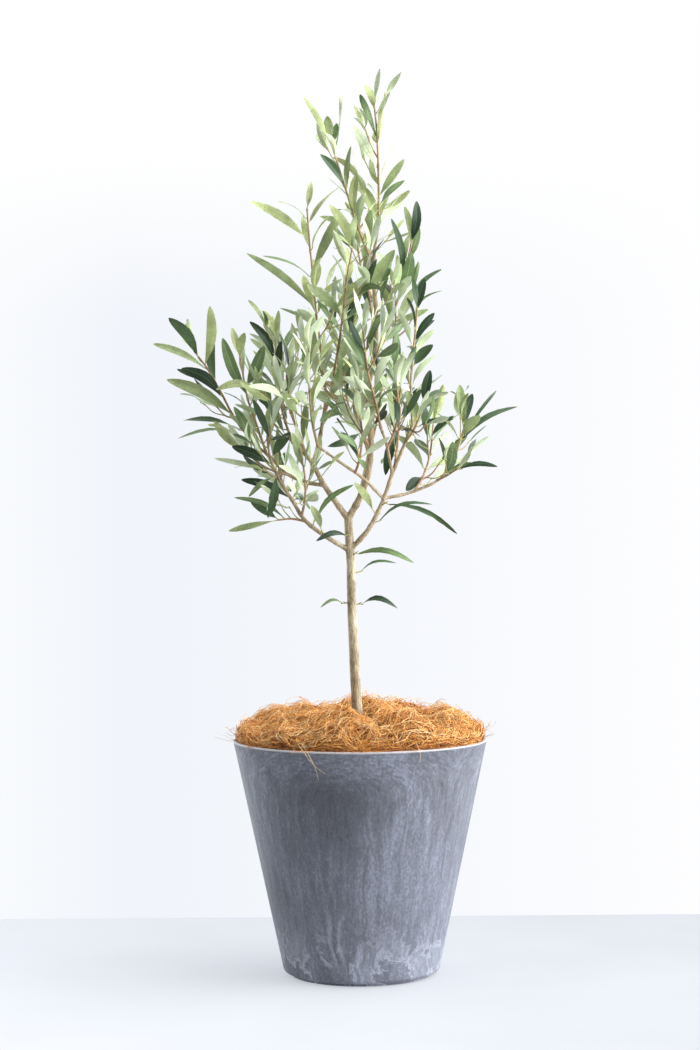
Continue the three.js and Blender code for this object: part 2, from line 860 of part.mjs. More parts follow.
/** Keeps the space of boxes for one shoot, and for one node on it where they are a leaf's. */
function take(boxes, shoot, node) {
  boxes.forEach((box) => taken.push({ box, shoot, node }));
}

// ---- Leaves and twigs ---------------------------------------------------------------------------

const { lerp, degToRad } = THREE.MathUtils;

/** Numbers from 0 to 1 that are the same on every run for one seed. */
function seeded(seed) {
  let state = seed;
  return () => {
    state = (state + 0x6d2b79f5) | 0;
    let mixed = Math.imul(state ^ (state >>> 15), state | 1);
    mixed ^= mixed + Math.imul(mixed ^ (mixed >>> 7), mixed | 61);
    return ((mixed ^ (mixed >>> 14)) >>> 0) / 2 ** 32;
  };
}

/** A leaf from a place on a twig along a direction. Its upper side looks in the direction face. */
function leafAlong(place, sunk, direction, length, width, face, arch) {
  const side = direction.clone().cross(face).normalize();
  const upper = side.clone().cross(direction);
  const root = place.clone().addScaledVector(direction, -sunk);
  const tip = place.clone().addScaledVector(direction, length);
  const belly = place.clone().addScaledVector(direction, length * LEAF.belly).addScaledVector(upper, arch);
  const start = place.clone().addScaledVector(direction, LEAF.start);
  const thickness = length * LEAF.thicknessShare;
  const boxes = [
    boxAlong(start, belly, side, width / 2, thickness),
    boxAlong(belly, tip, side, width / 2, thickness),
  ];
  return { root, tip, belly, side, upper, width, thickness, boxes };
}

/** The solid of a leaf: a three-sided spindle, flat above and with its midrib as a keel below. */
function leafSolid({ root, tip, belly, side, upper, width, thickness }) {
  const shape = new THREE.SphereGeometry(1, 3, 2); // its equator has corners at x = -1 and x = 1/2
  const edge = Math.sin(Math.PI / 3);
  const position = shape.attributes.position;
  for (let i = 0; i < position.count; i += 1) {
    const end = Math.round(position.getY(i));
    const vertex = [root, belly, tip][end + 1].clone();
    if (end === 0) {
      vertex.addScaledVector(side, -position.getZ(i) / edge * width / 2);
      vertex.addScaledVector(upper, (position.getX(i) - 0.5) / 1.5 * thickness);
    }
    position.setXYZ(i, vertex.x, vertex.y, vertex.z);
  }
  return solidOf(shape);
}

/** A leaf whose tip is fixed. */
function fixedLeaf({ axis, radiusAt }, { share, tip, width, face }) {
  const { point, tangent } = axis.at(axis.length * share);
  const along = new THREE.Vector3(...tip).sub(point);
  const length = along.length();
  const direction = along.normalize();
  const inner = tangent.clone().addScaledVector(direction, -tangent.dot(direction)).normalize();
  const looks = inner.lerp(BACK.clone().negate(), face);
  const sunk = radiusAt(share) * LEAF.sunk;
  return leafAlong(point, sunk, direction, length, width, looks, length * LEAF.fixedArch);
}

/** A leaf of a pair, drawn by the seeded rule: it is aimed again until it is clear, or left out. */
function drawnLeaf(random, { axis, radiusAt }, ripeness, azimuth, length, space, shoot, node) {
  const { point, tangent, right, back } = axis.at(axis.length * ripeness);
  const sunk = radiusAt(ripeness) * LEAF.sunk;
  for (let attempt = 1; attempt <= LEAF.tries; attempt += 1) {
    const turn = degToRad(azimuth + (random() - 0.5) * LEAF.turnPlay * attempt);
    const play = (random() - 0.5) * LEAF.leanPlay * attempt;
    const lean = degToRad(lerp(...LEAF.lean, ripeness) + play);
    const roll = degToRad((random() - 0.5) * LEAF.rollPlay);
    const size = length * lerp(...LEAF.sizePlay, random());
    const width = size * LEAF.widthShare * lerp(...LEAF.widthPlay, random());
    const arch = size * lerp(...LEAF.archPlay, random());
    const out = right.clone().multiplyScalar(Math.cos(turn)).addScaledVector(back, Math.sin(turn));
    const direction = tangent.clone().multiplyScalar(Math.cos(lean)).addScaledVector(out, Math.sin(lean));
    const face = tangent.clone().multiplyScalar(Math.sin(lean)).addScaledVector(out, -Math.cos(lean));
    face.applyAxisAngle(direction, roll);
    const leaf = leafAlong(point, sunk, direction, size, width, face, arch);
    if (space.containsPoint(leaf.tip) && isClear(leaf.boxes, shoot, node)) return leaf;
  }
  return null;
}

/** A side twig, drawn by the seeded rule: it leaves the stem and turns up to the light. */
function drawnTwig(random, axis, share, azimuth, length, space, shoot) {
  const { point, tangent, right, back } = axis.at(axis.length * share);
  for (let attempt = 1; attempt <= TWIG.tries; attempt += 1) {
    const turn = degToRad(azimuth + (random() - 0.5) * TWIG.turnPlay * attempt);
    const lean = degToRad(TWIG.lean + (random() - 0.5) * TWIG.leanPlay);
    const size = length * lerp(...TWIG.sizePlay, random());
    const out = right.clone().multiplyScalar(Math.cos(turn)).addScaledVector(back, Math.sin(turn));
    const leaving = tangent.clone().multiplyScalar(Math.cos(lean)).addScaledVector(out, Math.sin(lean));
    const rising = leaving.clone().addScaledVector(UP, TWIG.rise).normalize();
    const elbow = point.clone().addScaledVector(leaving, size / 2);
    const end = elbow.clone().addScaledVector(rising, size / 2);
    const twig = new Axis([point.toArray(), elbow.toArray(), end.toArray()], TWIG.step);
    const boxes = boxesAlong(twig, taper(TWIG.sideRadii), LEAF.start);
    if (space.containsPoint(end) && isClear(boxes, shoot, 'twig')) {
      return { axis: twig, radiusAt: taper(TWIG.sideRadii), boxes };
    }
  }
  return null;
}

/** Leaf pairs along a twig, each pair turned a quarter against the last, and a pair at its tip. */
function pairsAlong(random, twig, leafLength, space, shoot) {
  const leaves = [];
  const nodes = Math.max(1, Math.round(twig.axis.length / LEAF.spacing));
  for (let node = 1; node <= nodes; node += 1) {
    const ripeness = node / nodes;
    for (const opposite of [0, 180]) {
      const azimuth = node * LEAF.turn + LEAF.firstTurn + opposite;
      const length = lerp(...leafLength, ripeness);
      const leaf = drawnLeaf(random, twig, ripeness, azimuth, length, space, shoot, `pair${node}`);
      if (leaf) {
        take(leaf.boxes, shoot, `pair${node}`);
        leaves.push(leaf);
      }
    }
  }
  return leaves;
}

/** Grows all that a mass has beyond its stem and fixed leaves. */
function fillOut(name, mass) {
  const { seed, twigs, twigLength, leafLength } = mass.spec;
  const random = seeded(seed);
  const space = new THREE.Box3().setFromPoints(mass.stem.axis.samples);
  space.expandByScalar(leafLength[0] + twigLength / 2).intersect(CROWN);
  const { axis } = mass.stem;
  for (let i = 0; i < twigs; i += 1) {
    const share = (i + TWIG.firstShare + TWIG.sharePlay * random()) / (twigs + TWIG.lastShare);
    const azimuth = TWIG.turn * i + 360 * random();
    const shoot = `${name}_${i}`;
    const twig = drawnTwig(random, axis, share, azimuth, twigLength, space, name);
    if (twig) {
      take(twig.boxes, shoot);
      mass.twigs.push(twig);
      mass.leaves.push(...pairsAlong(random, twig, [leafLength[1], leafLength[1]], space, shoot));
    }
  }
  mass.leaves.push(...pairsAlong(random, mass.stem, leafLength, space, name));
}

// ---- The plant ----------------------------------------------------------------------------------

const trunkAxis = new Axis(TRUNK.points, TRUNK.step);
const limbs = { trunk: { axis: trunkAxis, radiusAt: trunkRadius, sides: TRUNK.sides } };
for (const [name, { points, radii }] of Object.entries(BOUGHS)) {
  limbs[name] = { axis: new Axis(points, BOUGH.step), radiusAt: taper(radii), sides: BOUGH.sides };
}
const masses = {};
for (const [name, spec] of Object.entries(MASSES)) {
  const stem = { axis: new Axis(spec.stem, TWIG.step), radiusAt: taper(TWIG.stemRadii) };
  masses[name] = { spec, stem, twigs: [], leaves: [] };
}

for (const [name, { axis, radiusAt }] of Object.entries(limbs)) take(boxesAlong(axis, radiusAt), name);
for (const [name, { stem }] of Object.entries(masses)) take(boxesAlong(stem.axis, stem.radiusAt), name);
for (const [name, mass] of Object.entries(masses)) {
  mass.spec.leaves.forEach((fixed, i) => {
    const leaf = fixedLeaf(mass.stem, fixed);
    take(leaf.boxes, name, `fixed${i}`);
    mass.leaves.push(leaf);
  });
}
for (const [name, mass] of Object.entries(masses)) {
  if (mass.spec.seed) fillOut(name, mass);
}

/** The trunk, cut flat at ground level. */
function trunk() {
  const { points, radii, flare, sides } = TRUNK;
  const width = 4 * (radii[0] + flare);
  const depth = 2 * (SOIL_TOP - points[0][2]);
  const ground = new THREE.BoxGeometry(width, width, depth).translate(0, 0, SOIL_TOP + CLEAR - depth / 2);
  return cutClear(limb(trunkAxis, trunkRadius, sides), solidOf(ground));
}

/** The space round the limbs that bear a piece, which the piece is cut clear of. */
function spaceRound(names) {
  return names
    .map((name) => limb(limbs[name].axis, limbs[name].radiusAt, limbs[name].sides, CLEAR))
    .reduce((whole, next) => whole.add(next));
}

place('planter', planter(), 'planter');
place('soil', soil(), 'soil');
place('coir_mulch', mulch(spaceRound(['trunk'])), 'coir');
place('trunk', geometryOf(trunk()), 'bark');
for (const [name, { on }] of Object.entries(BOUGHS)) {
  const { axis, radiusAt, sides } = limbs[name];
  place(name, geometryOf(cutClear(limb(axis, radiusAt, sides), spaceRound(on))), 'bark');
}
for (const [name, { spec, stem, twigs, leaves }] of Object.entries(masses)) {
  const wood = [stem, ...twigs].map(({ axis, radiusAt }) => limb(axis, radiusAt, TWIG.sides));
  const whole = [...wood, ...leaves.map(leafSolid)].reduce((sum, next) => sum.add(next));
  place(name, geometryOf(cutClear(whole, spaceRound(spec.on))), 'foliage');
}

export default tree;
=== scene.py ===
"""A young olive tree in its marbled planter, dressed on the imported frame.

Sizes in the classes below are millimetres, as the tree is planned. Meshes and lamps are in metres.
The origin is the centre of the planter's underside, +Z is up and the broad side looks along -Y.
"""

import logging
import math
from collections.abc import Callable, Iterable, Sequence
from dataclasses import dataclass, field
from enum import Enum
from functools import cache
from itertools import pairwise

import bpy
import numpy as np
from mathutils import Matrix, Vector, noise


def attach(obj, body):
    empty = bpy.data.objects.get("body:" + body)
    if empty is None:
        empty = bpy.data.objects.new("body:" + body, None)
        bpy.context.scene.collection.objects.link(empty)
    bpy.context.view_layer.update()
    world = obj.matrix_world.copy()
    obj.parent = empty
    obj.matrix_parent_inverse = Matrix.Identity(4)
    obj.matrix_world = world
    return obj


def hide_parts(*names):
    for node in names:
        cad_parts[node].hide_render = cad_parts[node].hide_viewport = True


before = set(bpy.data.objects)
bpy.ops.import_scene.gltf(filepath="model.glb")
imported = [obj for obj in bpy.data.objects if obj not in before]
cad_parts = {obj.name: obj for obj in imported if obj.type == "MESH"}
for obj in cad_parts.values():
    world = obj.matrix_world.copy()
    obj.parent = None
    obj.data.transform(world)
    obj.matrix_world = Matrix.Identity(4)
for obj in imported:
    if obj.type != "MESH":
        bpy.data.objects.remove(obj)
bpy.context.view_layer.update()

log = logging.getLogger("olive")

MM = 0.001  # one millimetre, in metres
BODY = "root"
NOISE_SEED = 7

UP = np.array((0.0, 0.0, 1.0))
BACK = np.array((0.0, 1.0, 0.0))
FRONT = -BACK

Point = tuple[float, float, float]
Colour = tuple[float, float, float, float]

BLACK: Colour = (0.0, 0.0, 0.0, 1.0)
WHITE: Colour = (1.0, 1.0, 1.0, 1.0)
SMOOTH = "SMOOTHSTEP"


class Slot(Enum):
    """Material slots of the record, one for each kind of finish."""

    PLANTER = "planter"
    COIR = "coir"
    BARK = "bark"
    FOLIAGE = "foliage"


# ---- Sizes of the planter and the ground ----


@dataclass(frozen=True)
class PlanterSizes:
    """Sizes of the round tapered planter."""

    height: float = 250
    rim_radius: float = 135
    foot_radius: float = 82
    wall: float = 5
    floor: float = 8
    edge: float = 6
    lip: float = 1.2
    stand_radius: float = 75
    stand_height: float = 3

    def outer(self, height: float) -> float:
        """Radius of the outside at a height."""
        return self.foot_radius + (self.rim_radius - self.foot_radius) * height / self.height

    def inner(self, height: float) -> float:
        """Radius of the inside at a height."""
        return self.outer(height) - self.wall


POT = PlanterSizes()
SOIL_TOP = 236.0
CLEAR = 0.3


# ---- Limbs and masses of foliage ----


@dataclass(frozen=True)
class Bough:
    """A tapering limb: its radii at foot and tip, and points on its axis."""

    name: str
    radii: tuple[float, float]
    points: tuple[Point, ...]


@dataclass(frozen=True)
class FixedLeaf:
    """A leaf with its own place and tint.

    Its share is that of the stem's length where it grows, and its face is how far it turns to the
    front, from 0 to 1. Its tint runs from 0, the deepest, to 6, the palest.
    """

    share: float
    tip: Point
    width: float
    face: float
    tint: int | None = None


def fixed(*rows: tuple[float, ...]) -> tuple[FixedLeaf, ...]:
    """Fixed leaves from rows of share, tip's place, width, turn to the front and tint."""
    return tuple(FixedLeaf(row[0], row[1:4], *row[4:]) for row in rows)


@dataclass(frozen=True)
class Mass:
    """A mass of foliage round one stem. One with no seed has only its fixed leaves."""

    name: str
    stem: tuple[Point, ...]
    seed: int | None = None
    twigs: int = 0
    twig_length: float = 0
    leaf_length: tuple[float, float] = (0, 0)
    mood: tuple[float, float] = (0.3, 3.9)  # span of the lead tints of its sprays
    leaves: tuple[FixedLeaf, ...] = ()


SPROUT_SHARE = 0.8


def sprout(name: str, foot: Point, end: Point, *leaf: float) -> Mass:
    """A short shoot on the wood with one leaf: its tip, width, turn to the front and tint."""
    return Mass("sprout_" + name, (foot, end), leaves=fixed((SPROUT_SHARE, *leaf)))


@dataclass(frozen=True)
class TrunkSizes:
    """The trunk: points on its axis, its radii, and the flare over its roots."""

    points: tuple[Point, ...] = (
        (0, 0, SOIL_TOP - 8), (-5, 0, 320), (-7.4, 0, 395), (-8.6, 0, 440), (-11, 0, 486),
    )
    radii: tuple[float, float] = (5.9, 4.5)
    flare: float = 3.4
    flare_height: float = 16
    step: float = 20


TRUNK = TrunkSizes()
BOUGH_STEP = 20.0

BOUGHS: tuple[Bough, ...] = (
    Bough("bough_leader_low", (3.8, 2.9), (
        (-11, 0, 484), (2.5, 0, 509), (11, 2, 535), (13.5, 4, 565), (11.5, 6, 600), (11, 8, 628),
    )),
    Bough("bough_leader_high", (2.8, 2), (
        (11, 8, 628), (18, 9, 652), (20.5, 10, 700), (18, 10, 745), (19.5, 10, 772),
    )),
    Bough("bough_left_high", (3.5, 2), (
        (-11, 0, 484), (-36, -2, 520), (-50, -3, 546), (-70, -4, 567),
    )),
    Bough("bough_left_wing", (2.2, 1.6), (
        (-36, -2, 520), (-56, 4, 524), (-78, 10, 534), (-92, 13, 549), (-112, 14, 566),
    )),
    Bough("bough_left_middle", (2.3, 1.8), (
        (-48, -3, 543), (-42, 4, 563), (-38, 7, 585), (-33, 8, 614),
    )),
    Bough("bough_left_low", (2.8, 1.6), (
        (-9, 0, 450), (-39, -6, 469), (-57, -10, 484), (-70, -14, 505), (-84, -20, 527),
    )),
    Bough("bough_right_low", (2.9, 1.7), (
        (-9, 0, 451), (11, -6, 474), (26, -11, 503), (36, -14, 532), (48, -16, 560), (58, -18, 584),
    )),
    Bough("bough_right_wing", (1.9, 1.3), (
        (27, -11, 506), (55, -6, 512), (88, 0, 527), (104, 6, 552),
    )),
    Bough("bough_right_inner", (1.8, 1.4), (
        (36, -14, 532), (31, -26, 560), (24, -40, 580),
    )),
    Bough("bough_front", (1.8, 1.4), (
        (27, -11, 505), (8, -18, 525), (-14, -32, 541), (-42, -50, 561),
    )),
    Bough("bough_back", (2, 1.4), (
        (12.5, 3, 548), (8, 30, 566), (0, 58, 590),
    )),
    Bough("bough_back_low", (2, 1.4), (
        (2.5, 0, 509), (6, 26, 530), (12, 52, 556),
    )),
    Bough("bough_back_left", (1.8, 1.3), (
        (-56, -3.3, 553), (-62, 24, 572), (-72, 50, 598),
    )),
    Bough("bough_back_right", (1.7, 1.3), (
        (12.5, 8, 634), (28, 30, 650), (38, 50, 664),
    )),
)

MASSES: tuple[Mass, ...] = (
    # The two masses at the top take the palest moods: painted light on the crown's top.
    Mass("foliage_top", (
        (19.5, 10, 772), (23.5, 10, 800), (24, 9, 850), (22.5, 8, 895), (20, 8, 924),
    ), 711, 2, 38, (50, 38), mood=(3, 6.8), leaves=fixed(
        (1, 25, 8, 963, 7, 0.5, 6), (0.96, 11, 3, 945, 10, 0.9, 4), (0.76, 6, 14, 937, 10, 0.6, 2),
        (0.8, 37, 4, 937, 8, 0.4, 6), (0.55, -2, -2, 902, 11, 0.8, 6), (0.36, 51, 4, 866, 10, 0.9, 3),
        (0.2, 9, 0, 836, 13, 1, 4),
    )),
    Mass("foliage_top_left", (
        (18.2, 10, 755), (6, 8, 783), (-6, 4, 818), (-20, 0, 864), (-26, -2, 884),
    ), 12, 1, 34, (50, 36), mood=(2.6, 5.6), leaves=fixed(
        (1, -30, -4, 911, 12, 1, 3), (0.97, -20, -1, 904, 9, 0.8, 2), (0.88, -53, -8, 935, 6, 0.5, 4),
        (0.9, -17, 6, 936, 5, 0.5, 6), (0.62, -38, -6, 871, 10, 0.7, 1), (0.6, -5, 6, 880, 9, 0.6, 3),
        (0.4, 1, -6, 850, 11, 0.9, 4),
    )),
    Mass("foliage_left_spire", (
        (-33, 8, 614), (-38, 4, 658), (-43, 0, 700), (-46.5, -2, 742), (-50, -3, 780), (-52, -4, 812),
    ), 363, 1, 36, (58, 46), mood=(2, 4.6), leaves=fixed(
        (1, -48, -4, 842, 8, 0.9, 5), (0.95, -82, -10, 821, 6, 0.3, 3), (0.93, -16, -2, 840, 9, 0.4, 4),
        (0.84, -114, -14, 821, 11, 0.8, 4), (0.64, -99, -6, 764, 8, 0.3, 2),
        (0.48, -116, -2, 767, 10, 0.9, 3), (0.37, -82, 6, 709, 7, 0.4, 2),
        (0.67, -18, -6, 808, 13, 0.9, 3),
    )),
    Mass("foliage_centre_left", (
        (-37.6, 7, 588), (-29, 0, 617), (-22, -6, 655), (-15, -12, 700), (-11, -15, 735),
        (-5, -16, 768),
    ), 14, 2, 40, (60, 48), mood=(2, 4.2), leaves=fixed(
        (0.62, -52, -28, 731, 16, 1, 3), (0.7, 40, -26, 767, 17, 1, 3), (1, -28, -20, 816, 12, 0.9, 4),
        (1, 0, -10, 806, 9, 0.6, 3),
    )),
    Mass("foliage_left_wing", (
        (-112, 14, 566), (-131, 18, 592), (-147, 22, 622), (-160, 24, 645), (-174, 26, 664),
    ), 15, 1, 34, (62, 46), mood=(0.8, 4), leaves=fixed(
        (0.93, -201, 18, 700, 14, 1, 1), (1, -184, 24, 694, 9, 0.8, 4),
        (0.8, -217, 14, 673, 10, 0.7, 3), (0.5, -187, 10, 646, 15, 1, 0),
        (0.32, -203, 8, 634, 15, 0.9, 3), (0.84, -157, 16, 712, 13, 1, 4),
        (0.14, -187, 28, 592, 9, 0.3, 1), (0.05, -191, 4, 576, 8, 0.35, 2),
    )),
    Mass("foliage_wing_inner", (
        (-97, 13.4, 553), (-106, 4, 580), (-117, -4, 615), (-124, -10, 655),
    ), 16, 1, 36, (60, 44), mood=(1.6, 5), leaves=fixed(
        (1, -132, -12, 688, 9, 0.7, 5), (1, -119, -14, 682, 11, 0.9, 4),
        (0.62, -142, -18, 676, 14, 1, 2), (0.7, -99, -20, 667, 14, 0.9, 2),
    )),
    Mass("foliage_left_inner", (
        (-70, -4, 567), (-80, -2, 600), (-86, 0, 640), (-87, 0, 678),
    ), 367, 1, 40, (60, 44), mood=(0.6, 4.4), leaves=fixed(
        (1, -99, -2, 706, 9, 0.9, 5), (1, -83, -4, 706, 8, 0.7, 4), (0.76, -113, -8, 694, 11, 0.9, 0),
    )),
    Mass("foliage_left_front", (
        (-52, -3, 548), (-62, -22, 572), (-70, -36, 602), (-74, -46, 634),
    ), 18, 2, 44, (60, 46)),
    Mass("foliage_low_left", (
        (-84, -20, 527), (-92, -26, 548), (-95, -32, 572), (-93, -38, 594),
    ), 19, 2, 34, (60, 46), mood=(0.4, 3.6), leaves=fixed(
        (0.55, -78, -58, 618, 15, 1, 3), (0.25, -132, -30, 562, 13, 0.9, 0),
        (0.08, -95, -36, 487, 12, 0.9, 1), (1, -101, -40, 634, 13, 0.9, 2),
        (0.35, -71, -34, 576, 12, 1),
    )),
    Mass("foliage_low_left_tip", (
        (-55, -9.6, 482), (-70, -10, 485), (-84, -13, 484),
    ), 20, 0, 0, (46, 40), leaves=fixed(
        (1, -137, -22, 475, 9, 0.4, 3), (1, -114, -12, 504, 11, 0.9, 1), (0.7, -131, -26, 507, 8, 0.6),
    )),
    Mass("foliage_low_left_back", (
        (-66, -12.5, 498), (-70, 6, 506), (-80, 30, 516), (-88, 50, 534),
    ), 71, 1, 30, (54, 44), mood=(0, 3), leaves=fixed((0.3, -124, 2, 527, 11, 0.8))),
    Mass("foliage_low_left_front", (
        (-60, -11, 488), (-56, -30, 508), (-56, -48, 532), (-60, -60, 556),
    ), 22, 1, 30, (54, 44)),
    Mass("foliage_right_high", (
        (18.3, 9, 653), (30, 4, 677), (39, 0, 702), (48, -4, 733), (58, -8, 775),
    ), 273, 1, 34, (54, 42), mood=(0.6, 3.8), leaves=fixed(
        (1, 64, -10, 820, 12, 1, 0), (1, 52, -6, 815, 9, 0.8, 3), (0.52, 58, -14, 765, 15, 1, 2),
        (0.66, 37, -4, 802, 9, 0.8, 1),
    )),
    Mass("foliage_right_upper", (
        (58, -18, 584), (56, -14, 615), (58, -10, 650), (62, -6, 685), (64, -5, 704),
    ), 224, 2, 38, (56, 40), mood=(0, 3.2), leaves=fixed(
        (1, 72, -5, 738, 11, 0.9, 0), (1, 60, -8, 737, 8, 0.7, 1), (0.72, 82, -6, 702, 10, 0.8, 0),
        (0.5, 80, -14, 668, 13, 0.9, 1), (0.45, 38, -24, 658, 13, 1, 3),
    )),
    Mass("foliage_right_front", (
        (50, -16.4, 564.6), (60, -30, 580), (69, -38, 602),
    ), 25, 1, 32, (52, 42), mood=(-0.6, 2.6), leaves=fixed(
        (1, 76, -42, 640, 12, 1, 0), (0.9, 88, -30, 620, 13, 0.9, 1), (0.6, 52, -50, 618, 13, 1, 3),
    )),
    Mass("foliage_right_middle", (
        (38.5, -14.4, 539), (42, 2, 562), (44, 16, 594), (42, 26, 628),
    ), 476, 2, 36, (58, 46), mood=(-0.8, 2.4), leaves=fixed((0.5, 29, -12, 531, 12, 1))),
    Mass("foliage_right_wing", (
        (104, 6, 552), (109, 9, 566), (114, 12, 582),
    ), 27, 0, 0, (50, 42), mood=(-0.4, 2.8), leaves=fixed(
        (1, 109, 8, 626, 14, 1, 3), (1, 123, 18, 617, 11, 0.9, 0), (0.6, 130, 0, 593, 14, 0.9, 3),
        (0.5, 171, 20, 603, 11, 0.5, 1), (0.35, 149, 34, 621, 5, 0.5, 1),
    )),
    Mass("foliage_right_side", (
        (84, -1, 524.5), (94, -10, 530), (104, -17, 536),
    ), 28, 0, 0, (46, 40), mood=(0, 2.8), leaves=fixed(
        (0.4, 100, -24, 565, 14, 1, 2), (1, 147, -22, 539, 7, 0.4, 0),
    )),
    Mass("foliage_right_back", (
        (60, -5, 514), (70, 20, 530), (78, 44, 554), (82, 60, 584),
    ), 729, 2, 34, (56, 46), mood=(-0.8, 2.2), leaves=fixed((0.3, 51, 6, 514, 12, 1))),
    Mass("foliage_front", (
        (-42, -50, 561), (-48, -64, 590), (-50, -74, 625), (-50, -78, 660),
    ), 180, 2, 40, (58, 44), mood=(1, 4)),
    Mass("foliage_front_right", (
        (24, -40, 580), (18, -56, 608), (10, -68, 642), (6, -74, 678),
    ), 331, 2, 40, (58, 44)),
    Mass("foliage_front_high", (
        (20, 9.7, 682), (16, -12, 700), (12, -30, 728), (14, -40, 762),
    ), 232, 2, 34, (54, 42)),
    Mass("foliage_centre", (
        (11.5, 6, 600), (0, 16, 624), (-8, 26, 656), (-10, 32, 694),
    ), 83, 2, 40, (58, 46)),
    Mass("foliage_back", (
        (0, 58, 590), (-5, 72, 624), (-8, 82, 662), (-8, 88, 704),
    ), 34, 2, 42, (60, 44), mood=(0, 3)),
    Mass("foliage_back_low", (
        (12, 52, 556), (20, 68, 584), (26, 84, 618),
    ), 35, 2, 40, (58, 44), mood=(0, 2.8)),
    Mass("foliage_back_left", ((-72, 50, 598), (-80, 62, 628), (-86, 70, 662)), 36, 2, 40, (58, 44)),
    Mass("foliage_back_right", (
        (38, 50, 664), (42, 62, 694), (42, 68, 730),
    ), 37, 2, 36, (56, 42), mood=(0, 3)),
    Mass("foliage_back_high", (
        (20, 10, 710), (12, 28, 732), (4, 40, 760), (0, 46, 792),
    ), 38, 2, 34, (52, 40)),
    Mass("foliage_centre_low", (
        (13.2, 3.6, 558), (2, -8, 580), (-10, -16, 606), (-14, -24, 636),
    ), 39, 3, 38, (56, 46)),
    Mass("foliage_front_low", (
        (-3, -25, 533), (2, -40, 550), (4, -54, 576), (0, -62, 606),
    ), 40, 2, 36, (54, 44)),
    Mass("foliage_right_inner", (
        (31, -26, 560), (40, -38, 582), (42, -48, 610), (38, -54, 640),
    ), 791, 2, 34, (54, 44), mood=(-0.6, 2.6)),
    Mass("foliage_wing_low", (
        (-72, 8.4, 531), (-90, -2, 536), (-110, -10, 548), (-126, -14, 570),
    ), 592, 2, 34, (54, 44), leaves=fixed((0.3, -152, -14, 549, 8, 0.35))),
    sprout("trunk_left", (-7.4, 0, 393), (-15, -1, 395.5), -41, -6, 391, 9, 0.4, 2),
    sprout("trunk_right", (-7.4, 0, 391), (0.5, -1, 394.5), 41, -10, 391, 11, 0.5, 0),
    sprout("trunk_thin", (-8.2, 0, 425), (0, 1, 428), 40, 6, 437, 7, 0.4, 1),
    sprout("trunk_high", (-8.7, 0, 444), (-2, -6, 449), 58, -20, 438, 11, 0.7, 2),
    sprout("trunk_front", (-10, 0, 466), (-10, -8.5, 468), -44, -22, 462, 10, 0.6, 0),
    sprout("right_droop", (23.6, -10.2, 498), (30, -18, 502), 103, -34, 469, 9, 0.8, 1),
    sprout("right_inner", (19, -8.8, 489), (16, -14, 493), -4, -22, 523, 13, 1, 4),
    sprout("right_thin", (13.5, -6.8, 479), (20, -8, 481.5), 78, -10, 500, 6, 0.4, 1),
    sprout("left_low", (-37, -5.6, 467.6), (-39, -12, 473), -50, -24, 499, 13, 1, 3),
    sprout("left_inner", (-48, -8, 475.6), (-47, -8, 483), -6, -12, 521, 10, 0.8, 2),
)

CROWN = (np.array((-217.0, -150.0, 380.0)), np.array((171.0, 150.0, 963.0)))


# ---- The rule by which the tree grows ----


@dataclass(frozen=True)
class TwigKind:
    """A kind of side twig: its length before play, its radii, and the lengths of its leaves."""

    length: float
    radii: tuple[float, float]
    leaf_length: tuple[float, float]


@dataclass(frozen=True)
class TwigRule:
    """How side twigs grow."""

    step: float = 20
    stem_radii: tuple[float, float] = (1.6, 0.9)
    side_radii: tuple[float, float] = (1.1, 0.8)
    lean: float = 48
    lean_play: float = 24
    turn_play: float = 60
    size_play: tuple[float, float] = (0.75, 1.15)
    turn: float = 140
    rise: float = 0.6
    first: float = 0.35
    share_play: float = 0.4
    rest: float = 0.6
    tries: int = 6


@dataclass(frozen=True)
class LeafRule:
    """How leaves grow, in pairs that each turn a quarter against the last."""

    spacing: float = 21
    width_share: float = 0.21
    thickness_share: float = 0.022
    lean: tuple[float, float] = (52, 20)
    belly: float = 0.5
    sunk: float = 0.6
    start: float = 4
    tries: int = 7
    margin: float = 0.35
    turn: float = 90
    first_turn: float = 30
    turn_play: float = 40
    lean_play: float = 12
    roll_play: float = 130
    size_play: tuple[float, float] = (0.84, 1.12)
    width_play: tuple[float, float] = (0.8, 1.2)
    arch_play: tuple[float, float] = (-0.02, 0.09)
    fixed_arch: float = 0.03


@dataclass(frozen=True)
class YoungRule:
    """Young shoots from the axils of the leaves."""

    count: int = 3
    twig: TwigKind = TwigKind(24, (0.75, 0.5), (42, 34))
    first: float = 0.3
    share_play: float = 0.5
    divisions: float = 1.3  # of a side twig, which carries one


TWIG = TwigRule()
LEAF = LeafRule()
YOUNG = YoungRule()
# Masses at the open side of the crown, whose shoots have all unfolded.
FULL_GROWN = ("foliage_right_high", "foliage_right_upper", "foliage_right_front", "foliage_back_right")


def unit(vector: np.ndarray) -> np.ndarray:
    """A vector's direction."""
    return vector / np.linalg.norm(vector)


def lerp(ends: Sequence[float], share: float) -> float:
    """A value between two ends."""
    return ends[0] + (ends[1] - ends[0]) * share


def turned_about(vector: np.ndarray, axis: np.ndarray, angle: float) -> np.ndarray:
    """A vector turned about an axis.

    Args:
        vector: what is turned.
        axis: direction of the axis, of length one.
        angle: the turn in radians.

    Returns:
        The turned vector.
    """
    along = axis * np.dot(axis, vector) * (1 - math.cos(angle))
    return vector * math.cos(angle) + np.cross(axis, vector) * math.sin(angle) + along


